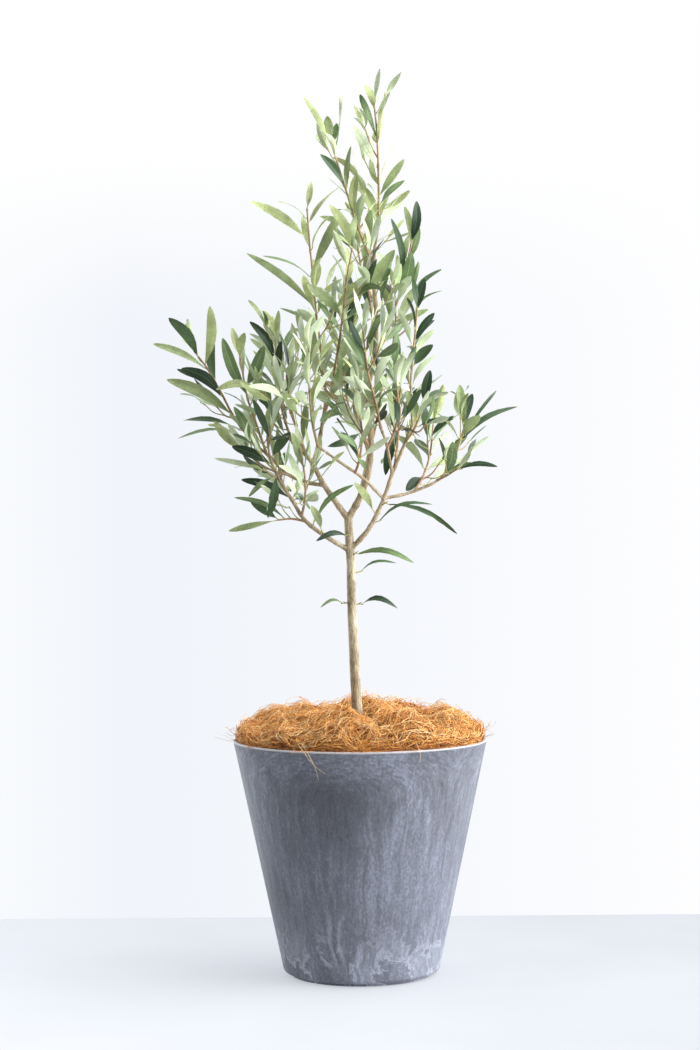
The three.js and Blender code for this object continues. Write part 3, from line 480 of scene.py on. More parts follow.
class Draws:
    """Numbers from 0 to 1 that are the same on every run for one seed."""

    WORD = 0xFFFFFFFF
    STRIDE = 0x6D2B79F5

    def __init__(self, seed: int) -> None:
        """Starts the row of numbers."""
        self.state = seed

    def __call__(self) -> float:
        """The next number."""
        self.state = (self.state + self.STRIDE) & self.WORD
        mixed = ((self.state ^ self.state >> 15) * (self.state | 1)) & self.WORD
        mixed ^= (mixed + (mixed ^ mixed >> 7) * (mixed | 61)) & self.WORD
        return (mixed ^ mixed >> 14) / (self.WORD + 1)

    def between(self, low: float, high: float) -> float:
        """The next number, spread between two ends."""
        return low + (high - low) * self()

    def play(self, most: float) -> float:
        """The next number, spread to both sides of nothing."""
        return self.between(-most, most)


class Axis:
    """The axis of a limb or twig: a smooth curve through points, with samples along it."""

    def __init__(self, points: Iterable[Sequence[float]], step: float) -> None:
        """Samples the curve.

        Args:
            points: places that the curve passes through.
            step: distance between samples.
        """
        self.points = np.array(list(points), float)
        span = np.linalg.norm(np.diff(self.points, axis=0), axis=1).sum()
        self.divisions = max(len(self.points) - 1, math.floor(span / step + 0.5))
        self.samples = self.curve(self.divisions)
        self.lengths = self.measured(self.samples)
        self.length = self.lengths[-1]
        chord = unit(self.points[-1] - self.points[0])
        self.reference = UP if abs(chord[1]) > 0.8 else BACK

    @staticmethod
    def measured(samples: np.ndarray) -> np.ndarray:
        """Distance of each sample from the first, along the line through them."""
        steps = np.linalg.norm(np.diff(samples, axis=0), axis=1)
        return np.concatenate(([0.0], np.cumsum(steps)))

    def curve(self, divisions: int) -> np.ndarray:
        """Places on the uniform spline through the points.

        Args:
            divisions: number of equal steps of the spline's parameter.

        Returns:
            The places, one more than the steps.
        """
        given = self.points
        first = 2 * given[0] - given[1]
        last = 2 * given[-1] - given[-2]
        padded = np.vstack([first, given, last])
        places = []
        for step in range(divisions + 1):
            position = step * (len(given) - 1) / divisions
            i = min(math.floor(position), len(given) - 2)
            t = position - i
            a, b, c, d = padded[i : i + 4]
            leave, arrive = (c - a) / 2, (d - b) / 2
            square = -3 * b + 3 * c - 2 * leave - arrive
            cube = 2 * b - 2 * c + leave + arrive
            places.append(b + leave * t + square * t**2 + cube * t**3)
        return np.array(places)

    def tangent(self, i: int) -> np.ndarray:
        """The direction of growth at a sample."""
        last = len(self.samples) - 1
        return unit(self.samples[min(i + 1, last)] - self.samples[max(i - 1, 0)])

    def across(self, tangent: np.ndarray) -> tuple[np.ndarray, np.ndarray]:
        """Two directions across the axis: to its right and to its back."""
        right = unit(np.cross(self.reference, tangent))
        return right, np.cross(tangent, right)

    def at(self, distance: float) -> tuple[np.ndarray, np.ndarray]:
        """The place and direction at a distance from the foot."""
        i = 1
        while i < len(self.samples) - 1 and self.lengths[i] < distance:
            i += 1
        share = (distance - self.lengths[i - 1]) / (self.lengths[i] - self.lengths[i - 1])
        point = self.samples[i - 1] + (self.samples[i] - self.samples[i - 1]) * share
        leaving, arriving = self.tangent(i - 1), self.tangent(i)
        return point, unit(leaving + (arriving - leaving) * share)


@dataclass
class Shoot:
    """A limb or twig: its axis, its radius by the share of its length, and its leaf nodes."""

    axis: Axis
    radius_at: Callable[[float], float]
    nodes: int = 0


def taper(radii: tuple[float, float]) -> Callable[[float], float]:
    """The radius of a limb that tapers evenly, by the share of its length."""
    return lambda share: lerp(radii, share)


@dataclass(frozen=True)
class Box:
    """A turned box: its centre, half its sizes, and its three directions as rows."""

    centre: np.ndarray
    half: np.ndarray
    turn: np.ndarray

    @classmethod
    def along(
        cls, start: np.ndarray, end: np.ndarray, side: np.ndarray, width: float, thickness: float
    ) -> "Box":
        """A box round a line, lying flat along a side direction.

        Args:
            start: one end of the line.
            end: its other end.
            side: direction that the box lies flat along.
            width: half its width.
            thickness: half its thickness.

        Returns:
            The box, with the margin added all round.
        """
        length = float(np.linalg.norm(end - start))
        along = (end - start) / length
        face = unit(np.cross(along, side))
        half = np.array((length / 2, width, thickness)) + LEAF.margin
        return cls((start + end) / 2, half, np.array((along, np.cross(face, along), face)))

    def meets(self, other: "Box") -> bool:
        """Whether two boxes overlap, by the separating axis test."""
        turn = self.turn @ other.turn.T
        away = self.turn @ (other.centre - self.centre)
        size = np.abs(turn) + np.finfo(float).eps
        if np.any(np.abs(away) > self.half + size @ other.half):
            return False
        if np.any(np.abs(away @ turn) > self.half @ size + other.half):
            return False
        for i in range(3):
            after, before = (i + 1) % 3, (i + 2) % 3
            for j in range(3):
                nxt, last = (j + 1) % 3, (j + 2) % 3
                reach = self.half[after] * size[before, j] + self.half[before] * size[after, j]
                reach += other.half[nxt] * size[i, last] + other.half[last] * size[i, nxt]
                if abs(away[before] * turn[after, j] - away[after] * turn[before, j]) > reach:
                    return False
        return True


class TakenSpace:
    """The boxes of everything that has grown, with the shoot and leaf node that own them."""

    ROOM = 6000

    def __init__(self) -> None:
        """Starts with nothing taken."""
        self.boxes: list[Box] = []
        self.owners: list[tuple[str, str | None]] = []
        self.centres = np.zeros((self.ROOM, 3))
        self.reach = np.zeros(self.ROOM)

    def take(self, boxes: Iterable[Box], shoot: str, node: str | None = None) -> None:
        """Keeps the space of boxes for one shoot, and for one leaf node on it."""
        for box in boxes:
            i = len(self.boxes)
            self.centres[i] = box.centre
            self.reach[i] = np.linalg.norm(box.half)
            self.boxes.append(box)
            self.owners.append((shoot, node))

    def is_clear(self, boxes: Iterable[Box], shoot: str, node: str | None) -> bool:
        """Whether boxes touch nothing that has grown, apart from what their own node owns.

        Args:
            boxes: the boxes to place.
            shoot: the shoot that they grow on.
            node: the leaf node that they grow from.

        Returns:
            True where they are clear.
        """
        count = len(self.boxes)
        for box in boxes:
            gaps = np.linalg.norm(self.centres[:count] - box.centre, axis=1)
            near = np.nonzero(gaps <= self.reach[:count] + np.linalg.norm(box.half))[0]
            for i in near:
                owner, place = self.owners[i]
                if owner == shoot and place in (node, None):
                    continue
                if box.meets(self.boxes[i]):
                    return False
        return True


@dataclass(frozen=True)
class Leaf:
    """Where a leaf lies: its root, belly and tip, and the directions of its side and upper face."""

    root: np.ndarray
    start: np.ndarray
    belly: np.ndarray
    tip: np.ndarray
    side: np.ndarray
    upper: np.ndarray
    width: float
    thickness: float
    boxes: tuple[Box, ...]
    ripeness: float

    @classmethod
    def along(
        cls,
        place: np.ndarray,
        sunk: float,
        direction: np.ndarray,
        length: float,
        width: float,
        face: np.ndarray,
        arch: float,
        ripeness: float,
    ) -> "Leaf":
        """A leaf from a place on a twig along a direction.

        Args:
            place: point on the twig's axis.
            sunk: how far the root lies behind it.
            direction: direction of the leaf.
            length: its length.
            width: its greatest width.
            face: direction that its upper side looks in.
            arch: how far its belly stands up.
            ripeness: share of the shoot's length that the leaf grows at.

        Returns:
            The leaf.
        """
        side = unit(np.cross(direction, face))
        upper = np.cross(side, direction)
        tip = place + direction * length
        belly = place + direction * length * LEAF.belly + upper * arch
        start = place + direction * LEAF.start
        thickness = length * LEAF.thickness_share
        boxes = (
            Box.along(start, belly, side, width / 2, thickness),
            Box.along(belly, tip, side, width / 2, thickness),
        )
        root = place - direction * sunk
        return cls(root, start, belly, tip, side, upper, width, thickness, boxes, ripeness)


@dataclass
class Growth:
    """All that has grown in one mass: its stem, side twigs, young shoots and leaves by shoot."""

    mass: Mass
    stem: Shoot
    twigs: list[Shoot] = field(default_factory=list)
    young: list[Shoot] = field(default_factory=list)
    sprays: list[list[Leaf]] = field(default_factory=list)


@dataclass(frozen=True)
class Room:
    """A box along the axes that shoots stay in."""

    low: np.ndarray
    high: np.ndarray

    @classmethod
    def round_stem(cls, mass: Mass, axis: Axis) -> "Room":
        """The room of a mass: the box round its stem and leaves, inside the crown's outline."""
        reach = mass.leaf_length[0] + mass.twig_length / 2
        low = np.maximum(axis.samples.min(0) - reach, CROWN[0])
        return cls(low, np.minimum(axis.samples.max(0) + reach, CROWN[1]))

    def holds(self, point: np.ndarray) -> bool:
        """Whether a point lies in the room."""
        return bool(np.all(point >= self.low) and np.all(point <= self.high))


class Tree:
    """The whole plant as it grows: limbs first, then stems, fixed leaves, twigs and leaf pairs."""

    YOUNG_SEED = 700

    def __init__(self) -> None:
        """Grows the tree by the seeded rule."""
        self.space = TakenSpace()
        trunk = Axis(TRUNK.points, TRUNK.step)
        self.limbs = {"trunk": Shoot(trunk, self.trunk_radius(trunk))}
        for bough in BOUGHS:
            self.limbs[bough.name] = Shoot(Axis(bough.points, BOUGH_STEP), taper(bough.radii))
        self.growths: dict[str, Growth] = {}
        for mass in MASSES:
            stem = Shoot(Axis(mass.stem, TWIG.step), taper(TWIG.stem_radii))
            self.growths[mass.name] = Growth(mass, stem)
        for name, limb in self.limbs.items():
            self.space.take(self.boxes_along(limb), name)
        for name, growth in self.growths.items():
            self.space.take(self.boxes_along(growth.stem), name)
        for name, growth in self.growths.items():
            self.fix_leaves(name, growth)
        seeded = [(name, growth) for name, growth in self.growths.items() if growth.mass.seed]
        for name, growth in seeded:
            self.fill_out(name, growth)
        for name, growth in seeded:
            self.carry_on(name, growth)

    @staticmethod
    def trunk_radius(axis: Axis) -> Callable[[float], float]:
        """The trunk's radius by the share of its length, with the flare over its roots."""
        even = taper(TRUNK.radii)
        fade = axis.length / TRUNK.flare_height
        return lambda share: even(share) + TRUNK.flare * math.exp(-share * fade)

    @staticmethod
    def boxes_along(shoot: Shoot, start: float = 0) -> list[Box]:
        """Boxes along a limb or twig, from a distance off its foot."""
        axis = shoot.axis
        boxes = []
        for i in range(1, len(axis.samples)):
            if axis.lengths[i] <= start:
                continue
            radius = shoot.radius_at(axis.lengths[i - 1] / axis.length)
            foot = axis.samples[i - 1]
            if axis.lengths[i - 1] < start:
                foot = axis.at(start)[0]
            right = axis.across(axis.tangent(i))[0]
            boxes.append(Box.along(foot, axis.samples[i], right, radius, radius))
        return boxes

    def fix_leaves(self, name: str, growth: Growth) -> None:
        """Places the leaves of a mass whose tips are fixed."""
        stem = growth.stem
        spray = []
        for i, fixed in enumerate(growth.mass.leaves):
            point, tangent = stem.axis.at(stem.axis.length * fixed.share)
            reach = np.array(fixed.tip, float) - point
            length = float(np.linalg.norm(reach))
            direction = reach / length
            inner = unit(tangent - direction * np.dot(tangent, direction))
            looks = inner + (FRONT - inner) * fixed.face
            sunk = stem.radius_at(fixed.share) * LEAF.sunk
            arch = length * LEAF.fixed_arch
            leaf = Leaf.along(point, sunk, direction, length, fixed.width, looks, arch, fixed.share)
            self.space.take(leaf.boxes, name, f"fixed{i}")
            spray.append(leaf)
        growth.sprays.append(spray)

    def drawn_leaf(
        self, draw: Draws, twig: Shoot, ripeness: float, azimuth: float, length: float,
        room: Room, shoot: str, node: str,
    ) -> Leaf | None:
        """A leaf of a pair: it is aimed again until it is clear, or left out.

        Args:
            draw: the seeded numbers.
            twig: what it grows on.
            ripeness: share of the twig's length that it grows at.
            azimuth: its turn round the twig, in degrees.
            length: its length before play.
            room: what its tip stays in.
            shoot: name of the twig.
            node: name of its leaf node.

        Returns:
            The leaf, or None.
        """
        point, tangent = twig.axis.at(twig.axis.length * ripeness)
        right, back = twig.axis.across(tangent)
        sunk = twig.radius_at(ripeness) * LEAF.sunk
        for attempt in range(1, LEAF.tries + 1):
            turn = math.radians(azimuth + (draw() - 0.5) * LEAF.turn_play * attempt)
            play = (draw() - 0.5) * LEAF.lean_play * attempt
            lean = math.radians(lerp(LEAF.lean, ripeness) + play)
            roll = math.radians((draw() - 0.5) * LEAF.roll_play)
            size = length * lerp(LEAF.size_play, draw())
            width = size * LEAF.width_share * lerp(LEAF.width_play, draw())
            arch = size * lerp(LEAF.arch_play, draw())
            out = right * math.cos(turn) + back * math.sin(turn)
            direction = tangent * math.cos(lean) + out * math.sin(lean)
            face = tangent * math.sin(lean) - out * math.cos(lean)
            face = turned_about(face, direction, roll)
            leaf = Leaf.along(point, sunk, direction, size, width, face, arch, ripeness)
            if room.holds(leaf.tip) and self.space.is_clear(leaf.boxes, shoot, node):
                return leaf
        return None

    def bear(
        self, draw: Draws, growth: Growth, bearer: Shoot, share: float, azimuth: float,
        kind: TwigKind, owner: str, name: str,
    ) -> list[Shoot]:
        """Grows a side twig, which turns up to the light, and its leaves where it finds room.

        Args:
            draw: the seeded numbers.
            growth: the mass that it belongs to.
            bearer: what it grows on.
            share: share of the bearer's length that it grows at.
            azimuth: its turn round the bearer, in degrees.
            kind: its sizes.
            owner: the bearer's name.
            name: its own name.

        Returns:
            The twig, or nothing where it found no room.
        """
        room = Room.round_stem(growth.mass, growth.stem.axis)
        point, tangent = bearer.axis.at(bearer.axis.length * share)
        right, back = bearer.axis.across(tangent)
        for attempt in range(1, TWIG.tries + 1):
            turn = math.radians(azimuth + (draw() - 0.5) * TWIG.turn_play * attempt)
            lean = math.radians(TWIG.lean + (draw() - 0.5) * TWIG.lean_play)
            size = kind.length * lerp(TWIG.size_play, draw())
            out = right * math.cos(turn) + back * math.sin(turn)
            leaving = tangent * math.cos(lean) + out * math.sin(lean)
            rising = unit(leaving + UP * TWIG.rise)
            elbow = point + leaving * size / 2
            end = elbow + rising * size / 2
            twig = Shoot(Axis((point, elbow, end), TWIG.step), taper(kind.radii))
            boxes = self.boxes_along(twig, LEAF.start)
            if room.holds(end) and self.space.is_clear(boxes, owner, "twig"):
                self.space.take(boxes, name)
                growth.sprays.append(self.pairs_along(draw, twig, kind.leaf_length, room, name))
                return [twig]
        return []

    def pairs_along(
        self, draw: Draws, twig: Shoot, leaf_length: tuple[float, float], room: Room, shoot: str
    ) -> list[Leaf]:
        """Leaf pairs along a twig, the last of them at its tip.

        Args:
            draw: the seeded numbers.
            twig: what they grow on.
            leaf_length: their length at its foot and at its tip.
            room: what their tips stay in.
            shoot: name of the twig.

        Returns:
            The leaves that found room.
        """
        leaves = []
        twig.nodes = max(1, math.floor(twig.axis.length / LEAF.spacing + 0.5))
        for node in range(1, twig.nodes + 1):
            ripeness = node / twig.nodes
            length = lerp(leaf_length, ripeness)
            for opposite in (0, 180):
                azimuth = node * LEAF.turn + LEAF.first_turn + opposite
                pair = f"pair{node}"
                leaf = self.drawn_leaf(draw, twig, ripeness, azimuth, length, room, shoot, pair)
                if leaf:
                    self.space.take(leaf.boxes, shoot, pair)
                    leaves.append(leaf)
        return leaves

    def fill_out(self, name: str, growth: Growth) -> None:
        """Grows all that a mass has beyond its stem and fixed leaves."""
        mass, stem = growth.mass, growth.stem
        draw = Draws(mass.seed)
        kind = TwigKind(mass.twig_length, TWIG.side_radii, (mass.leaf_length[1],) * 2)
        for i in range(mass.twigs):
            share = (i + TWIG.first + TWIG.share_play * draw()) / (mass.twigs + TWIG.rest)
            azimuth = TWIG.turn * i + 360 * draw()
            growth.twigs += self.bear(draw, growth, stem, share, azimuth, kind, name, f"{name}_{i}")
        room = Room.round_stem(mass, stem.axis)
        growth.sprays.append(self.pairs_along(draw, stem, mass.leaf_length, room, name))

    def carry_on(self, name: str, growth: Growth) -> None:
        """Carries a mass on to its young shoots, which fill what room is left in it."""
        if name in FULL_GROWN:
            return
        draw = Draws(growth.mass.seed + self.YOUNG_SEED)
        for i, bearer in enumerate([growth.stem, *growth.twigs]):
            owner = f"{name}_{i - 1}" if i else name
            count, divisions = (1, YOUNG.divisions) if i else (YOUNG.count, YOUNG.count)
            for j in range(count):
                share = (j + YOUNG.first + YOUNG.share_play * draw()) / divisions
                azimuth = TWIG.turn * j + 360 * draw()
                growth.young += self.bear(
                    draw, growth, bearer, share, azimuth, YOUNG.twig, owner, f"{owner}_young{j}"
                )


# ---- Finishes ----


def tone(red: int, green: int, blue: int) -> Colour:
    """A colour from its screen values, 0 to 255."""
    linear = []
    for value in (red, green, blue):
        share = value / 255
        linear.append(share / 12.92 if share <= 0.04045 else ((share + 0.055) / 1.055) ** 2.4)
    return (linear[0], linear[1], linear[2], 1.0)


def scaled(colour: Colour, share: float) -> Colour:
    """A colour made darker or paler by a share."""
    red, green, blue = (min(1.0, value * share) for value in colour[:3])
    return (red, green, blue, 1.0)


@dataclass(frozen=True)
class Grain:
    """Fractal noise: waves in a metre, octaves, their strength, its weight, stretch and twist."""

    scale: float
    detail: float
    rough: float = 0.55
    weight: float = 1
    stretch: Point | None = None
    warp: float = 0


class Value:
    """An output of a node. It adds, subtracts and multiplies with numbers and other outputs."""

    def __init__(self, graph: "Graph", socket: bpy.types.NodeSocket) -> None:
        """Keeps the output and the graph that it is in."""
        self.graph = graph
        self.socket = socket

    def __add__(self, other: object) -> "Value":
        """The sum."""
        return self.graph.math("ADD", self, other)

    def __sub__(self, other: object) -> "Value":
        """The difference."""
        return self.graph.math("SUBTRACT", self, other)

    def __mul__(self, other: object) -> "Value":
        """The product."""
        return self.graph.math("MULTIPLY", self, other)


class Graph:
    """A tree of shader nodes, built node by node."""

    def __init__(self, tree: bpy.types.NodeTree, coordinates: str) -> None:
        """Empties the tree and picks its coordinates."""
        self.tree = tree
        self.tree.nodes.clear()
        self.place = self.value("TexCoord", coordinates)

    def node(self, kind: str, inputs: dict | None = None, **settings: object) -> bpy.types.Node:
        """Adds a node.

        Args:
            kind: the node's type, without its prefix.
            inputs: values for its inputs, by name or number.
            **settings: its properties.

        Returns:
            The node.
        """
        made = self.tree.nodes.new("ShaderNode" + kind)
        for key, value in settings.items():
            setattr(made, key, value)
        for key, value in (inputs or {}).items():
            self.feed(made.inputs[key], value)
        return made

    def value(
        self, kind: str, output: str | int, inputs: dict | None = None, **settings: object
    ) -> Value:
        """One output of a new node."""
        return Value(self, self.node(kind, inputs, **settings).outputs[output])

    def feed(self, socket: bpy.types.NodeSocket, value: object) -> None:
        """Gives an input its value, or links another node's output to it."""
        if isinstance(value, Value):
            self.tree.links.new(value.socket, socket)
        else:
            socket.default_value = value

    def math(self, operation: str, *values: object) -> Value:
        """A number worked out from others."""
        return self.value("Math", 0, dict(enumerate(values)), operation=operation)

    def split(self) -> list[Value]:
        """The three coordinates of the place."""
        return [Value(self, part) for part in self.node("SeparateXYZ", {0: self.place}).outputs]

    def grain(self, grain: Grain, place: Value | None = None) -> Value:
        """Fractal noise from 0 to 1, on given coordinates or on the graph's own."""
        place = place or self.place
        if grain.stretch:
            place = self.value("Mapping", "Vector", {"Vector": place, "Scale": grain.stretch})
        return self.value("TexNoise", "Fac", {
            "Vector": place, "Scale": grain.scale, "Detail": grain.detail,
            "Roughness": grain.rough, "Distortion": grain.warp,
        })

    def ramp(self, share: Value, *stops: tuple[float, Colour]) -> Value:
        """A colour picked along stops by a number."""
        made = self.node("ValToRGB", {"Fac": share})
        elements = made.color_ramp.elements
        while len(elements) < len(stops):
            elements.new(0.5)
        for element, (position, colour) in zip(elements, stops):
            element.position, element.color = position, colour
        return Value(self, made.outputs["Color"])

    def range(self, value: Value, low: float, high: float, **settings: object) -> Value:
        """A number from 0 to 1 for a value's way from one end to the other."""
        inputs = {"Value": value, "From Min": low, "From Max": high}
        return self.value("MapRange", "Result", inputs, **settings)

    def mix(self, share: Value, first: object, second: object) -> Value:
        """A colour mixed from two."""
        return self.value("Mix", 2, {0: share, 6: first, 7: second}, data_type="RGBA")


class Surface(Graph):
    """The node tree of one material, with its shader."""

    def __init__(self, name: str) -> None:
        """Starts a material with only its shader and its output."""
        self.material = bpy.data.materials.new(name)
        self.material.use_nodes = True
        super().__init__(self.material.node_tree, "Object")
        self.shader = self.node("BsdfPrincipled")
        self.output = self.node("OutputMaterial", {"Surface": Value(self, self.shader.outputs[0])})

    def relief(self, height: Value, depth: float, strength: float = 1) -> None:
        """Gives the shader a bump from a height of 0 to 1, as deep as said in millimetres."""
        inputs = {"Height": height, "Distance": depth * MM, "Strength": strength}
        self.feed(self.shader.inputs["Normal"], self.value("Bump", "Normal", inputs))

    def finish(self, **sockets: object) -> bpy.types.Material:
        """Sets the shader's inputs, named with underscores for spaces, and gives the material."""
        for name, value in sockets.items():
            self.feed(self.shader.inputs[name.replace("_", " ")], value)
        return self.material


@dataclass(frozen=True)
class Strokes:
    """Lines down the planter's side that fade at their ends."""

    tint: Colour
    strength: float
    top_fade: tuple[float, float]  # where a line starts and ends to fade, from its upper end
    lines: tuple[tuple[float, float, float, float], ...]  # turn, lower end, upper end, half-width
    edge: float = 0  # half-width of an outline, for lines that are drawn as outlines
    foot_fade: tuple[float, float] = (-0.01, 0.02)

    def over(self, graph: Graph, colour: Value, angle: Value, height: Value) -> Value:
        """Draws the lines over a colour.

        Args:
            graph: the material's graph.
            colour: what they are drawn over.
            angle: turn round the planter.
            height: height over its foot, in metres.

        Returns:
            The colour with the lines.
        """
        for turn, foot, top, width in self.lines:
            off = graph.math("ABSOLUTE", angle - turn)
            if self.edge:
                off, width = graph.math("ABSOLUTE", off - width), self.edge
            fade_in = graph.range(height, *(foot + part for part in self.foot_fade))
            fade_out = graph.range(height, *(top + part for part in self.top_fade))
            share = graph.range(off, width, 0) * (fade_in * fade_out) * self.strength
            colour = graph.mix(share, colour, self.tint)
        return colour


@dataclass(frozen=True)
class MarbledStone:
    """The planter's marbled slate-grey shell: flow lines that arch under the rim."""

    dark: Colour = tone(59, 60, 66)
    middle: Colour = tone(100, 103, 113)
    pale: Colour = tone(150, 156, 172)
    bloom: Colour = tone(192, 197, 210)
    # Pale colour of the rim's rounded edge: a painted highlight where the edge catches the light.
    lip: Colour = tone(190, 184, 182)
    stops: Point = (0.34, 0.51, 0.69)
    arches: int = 3
    arch_height: float = 204
    arch_width: float = 0.62
    arch_rise: float = 12
    arch_turn: float = 4 * math.pi + 0.22
    flow: tuple[float, float] = (0.35, 0.9)  # weights of turn and height in the flow
    sway: Grain = Grain(9, 2, 0.5, 0.16)
    lines: Grain = Grain(17, 5, 0.6, 0.24)
    streaks: Grain = Grain(1, 6, 0.72, 0.2, (430, 430, 70))
    clouds: Grain = Grain(11, 3, 0.5, 0.24, (1, 1, 0.6), 0.6)
    speckle: Grain = Grain(400, 4, 0.8, 0.34, (1, 1, 0.7))
    combing: Grain = Grain(52, 3, 0.6, 0.3)
    wander: Grain = Grain(14, 3, weight=0.5)
    marks: Grain = Grain(24, 6, 0.66, 1, (1, 1, 0.6), 0.8)
    upper: tuple[float, float] = (0.12, 0.2)
    lower: tuple[float, float] = (0.07, 0.016)
    cloud: tuple[float, float] = (0.44, 0.08)
    cloud_weight: float = 0.04
    cloud_strength: float = 0.56
    ring_level: float = 0.52
    ring_width: float = 0.035
    ring_strength: float = 0.5
    spot: tuple[float, float] = (0.5, 0.7)
    spot_strength: float = 0.4
    lip_highlight_strength: float = 0.8
    seams: Strokes = Strokes(dark, 0.42, (0.01, -0.03), (
        (0.86, 0.075, 0.225, 0.016), (0.06, 0.004, 0.15, 0.018), (-0.32, 0.02, 0.09, 0.02),
        (2.5, 0.05, 0.2, 0.016), (-1.9, 0.03, 0.17, 0.018),
    ))
    drips: Strokes = Strokes(bloom, 0.28, (0.004, -0.02), (
        (-0.31, 0.018, 0.082, 0.05), (1.6, 0.02, 0.07, 0.06), (-2.6, 0.015, 0.075, 0.05),
    ), 0.034)

    def material(self) -> bpy.types.Material:
        """The finish as a material on the object's own coordinates."""
        graph = Surface("marbled_stone")
        x, y, z = graph.split()
        angle = graph.math("ARCTAN2", x, y * -1)
        wave = graph.math("PINGPONG", angle + self.arch_turn, math.pi / self.arches)
        across = wave * self.arch_width
        rise = graph.math("MAXIMUM", z - self.arch_height * MM, 0) * self.arch_rise
        arch = graph.math("SQRT", graph.math("POWER", across, 2) + graph.math("POWER", rise, 2))
        bent = arch + graph.grain(self.sway) * self.sway.weight
        turn_share, height_share = self.flow
        flow = graph.value("CombineXYZ", 0, {0: bent, 1: angle * turn_share, 2: z * height_share})
        lines = graph.grain(self.lines, flow) * self.lines.weight
        streaks, clouds = graph.grain(self.streaks), graph.grain(self.clouds)
        speckle = graph.grain(self.speckle)
        high = graph.range(z, *self.upper)
        combed = (graph.grain(self.combing, flow) - 0.5) * high * self.combing.weight
        cloud = graph.range(arch, *self.cloud) * high
        body = lines + streaks * self.streaks.weight + clouds * self.clouds.weight
        body = body + speckle * self.speckle.weight + combed - cloud * self.cloud_weight
        colour = graph.ramp(body, *zip(self.stops, (self.dark, self.middle, self.pale)))
        colour = graph.mix(cloud * self.cloud_strength, colour, self.dark)
        wandering = angle + (graph.grain(self.wander) - 0.5) * self.wander.weight
        colour = self.seams.over(graph, colour, wandering, z)
        colour = self.drips.over(graph, colour, wandering, z)
        marks = graph.grain(self.marks)
        rings = graph.range(graph.math("ABSOLUTE", marks - self.ring_level), self.ring_width, 0)
        spots = rings * self.ring_strength + graph.range(marks, *self.spot) * self.spot_strength
        colour = graph.mix(graph.range(z, *self.lower) * spots, colour, self.bloom)
        # Painted highlight: the top of the rim is mixed towards the pale lip colour, where the rounded
        # edge catches the light.
        edge = graph.range(z, (POT.height - 2.2) * MM, (POT.height - 1.3) * MM)
        colour = graph.mix(edge * self.lip_highlight_strength, colour, self.lip)
        graph.relief(streaks + speckle * 0.5, 0.25, 0.5)
        return graph.finish(Base_Color=colour, Roughness=streaks * 0.22 + 0.5)


@dataclass(frozen=True)
class Earth:
    """Dark potting soil in crumbs."""

    dark: Colour = tone(38, 27, 20)
    pale: Colour = tone(92, 70, 52)
    crumbs: Grain = Grain(260, 5, 0.65)

    def material(self) -> bpy.types.Material:
        """The finish as a material."""
        graph = Surface("potting_soil")
        crumbs = graph.grain(self.crumbs)
        graph.relief(crumbs, 1.2)
        colour = graph.ramp(crumbs, (0.35, self.dark), (0.7, self.pale))
        return graph.finish(Base_Color=colour, Roughness=0.95)


@dataclass(frozen=True)
class CoirFibre:
    """One tint of coconut fibre, or the matted layer under it."""

    name: str
    colour: Colour
    roughness: float = 0.8
    strands: Grain = Grain(190, 4, 0.7)
    fuzz: Grain = Grain(1500, 2, 0.6)
    shade: float = 0.55
    glow: float = 1.3

    def material(self) -> bpy.types.Material:
        """The finish as a material."""
        graph = Surface("coir_" + self.name)
        shade, glow = scaled(self.colour, self.shade), scaled(self.colour, self.glow)
        strands = graph.grain(self.strands)
        colour = graph.ramp(strands, (0.3, shade), (0.52, self.colour), (0.75, glow))
        graph.relief(graph.grain(self.fuzz), 0.1, 0.6)
        return graph.finish(Base_Color=colour, Roughness=self.roughness)


@dataclass(frozen=True)
class Bark:
    """Smooth young bark with shallow furrows along it, pale lenticels and a green cast."""

    name: str
    dark: Colour
    middle: Colour
    pale: Colour
    length: float = 0.22  # stretch of the furrows, as a share of their width
    warm: Colour = tone(162, 130, 90)
    patches: Grain = Grain(70, 3, 0.5, 0.45, (1, 1, 0.6))
    furrow_weight: float = 0.55
    warm_height: tuple[float, float] = (0.44, 0.58)
    warm_strength: float = 0.6
    pores: float = 420
    pore: tuple[float, float] = (0.2, 0.12)
    pore_strength: float = 0.5
    pore_height: float = 0.6

    def material(self) -> bpy.types.Material:
        """The finish as a material."""
        graph = Surface("bark_" + self.name)
        furrows = graph.grain(Grain(620, 5, 0.62, stretch=(1, 1, self.length)))
        patches = graph.grain(self.patches)
        body = furrows * self.furrow_weight + patches * self.patches.weight
        colour = graph.ramp(body, (0.36, self.dark), (0.5, self.middle), (0.66, self.pale))
        height = graph.split()[2]
        young = graph.range(height, *self.warm_height) * graph.range(patches, 0.35, 0.6)
        colour = graph.mix(young * self.warm_strength, colour, self.warm)
        cells = {"Vector": graph.place, "Scale": self.pores}
        dots = graph.range(graph.value("TexVoronoi", "Distance", cells), *self.pore)
        colour = graph.mix(dots * self.pore_strength, colour, self.pale)
        graph.relief(furrows + dots * self.pore_height, 0.35, 0.8)
        return graph.finish(Base_Color=colour, Roughness=patches * 0.25 + 0.62)


@dataclass(frozen=True)
class LeafSkin:
    """One side of a leaf in one tint."""

    name: str
    colour: Colour
    roughness: float
    mottle: float = 0.16
    vein_depth: float = 0.05
    shine: float = 0.35
    cells: Grain = Grain(420, 3, 0.5, 0.4)
    shadows: Grain = Grain(70, 2, 0.5, 0.6)

    def material(self) -> bpy.types.Material:
        """The finish as a material."""
        graph = Surface("leaf_" + self.name)
        cells, shadows = graph.grain(self.cells), graph.grain(self.shadows)
        body = cells * self.cells.weight + shadows * self.shadows.weight
        dark = scaled(self.colour, 1 - 1.6 * self.mottle)
        pale = scaled(self.colour, 1 + 1.8 * self.mottle)
        colour = graph.ramp(body, (0.34, dark), (0.5, self.colour), (0.68, pale))
        graph.relief(cells, self.vein_depth, 0.25)
        rough = shadows * 0.12 + (self.roughness - 0.05)
        return graph.finish(Base_Color=colour, Roughness=rough, Specular_IOR_Level=self.shine)


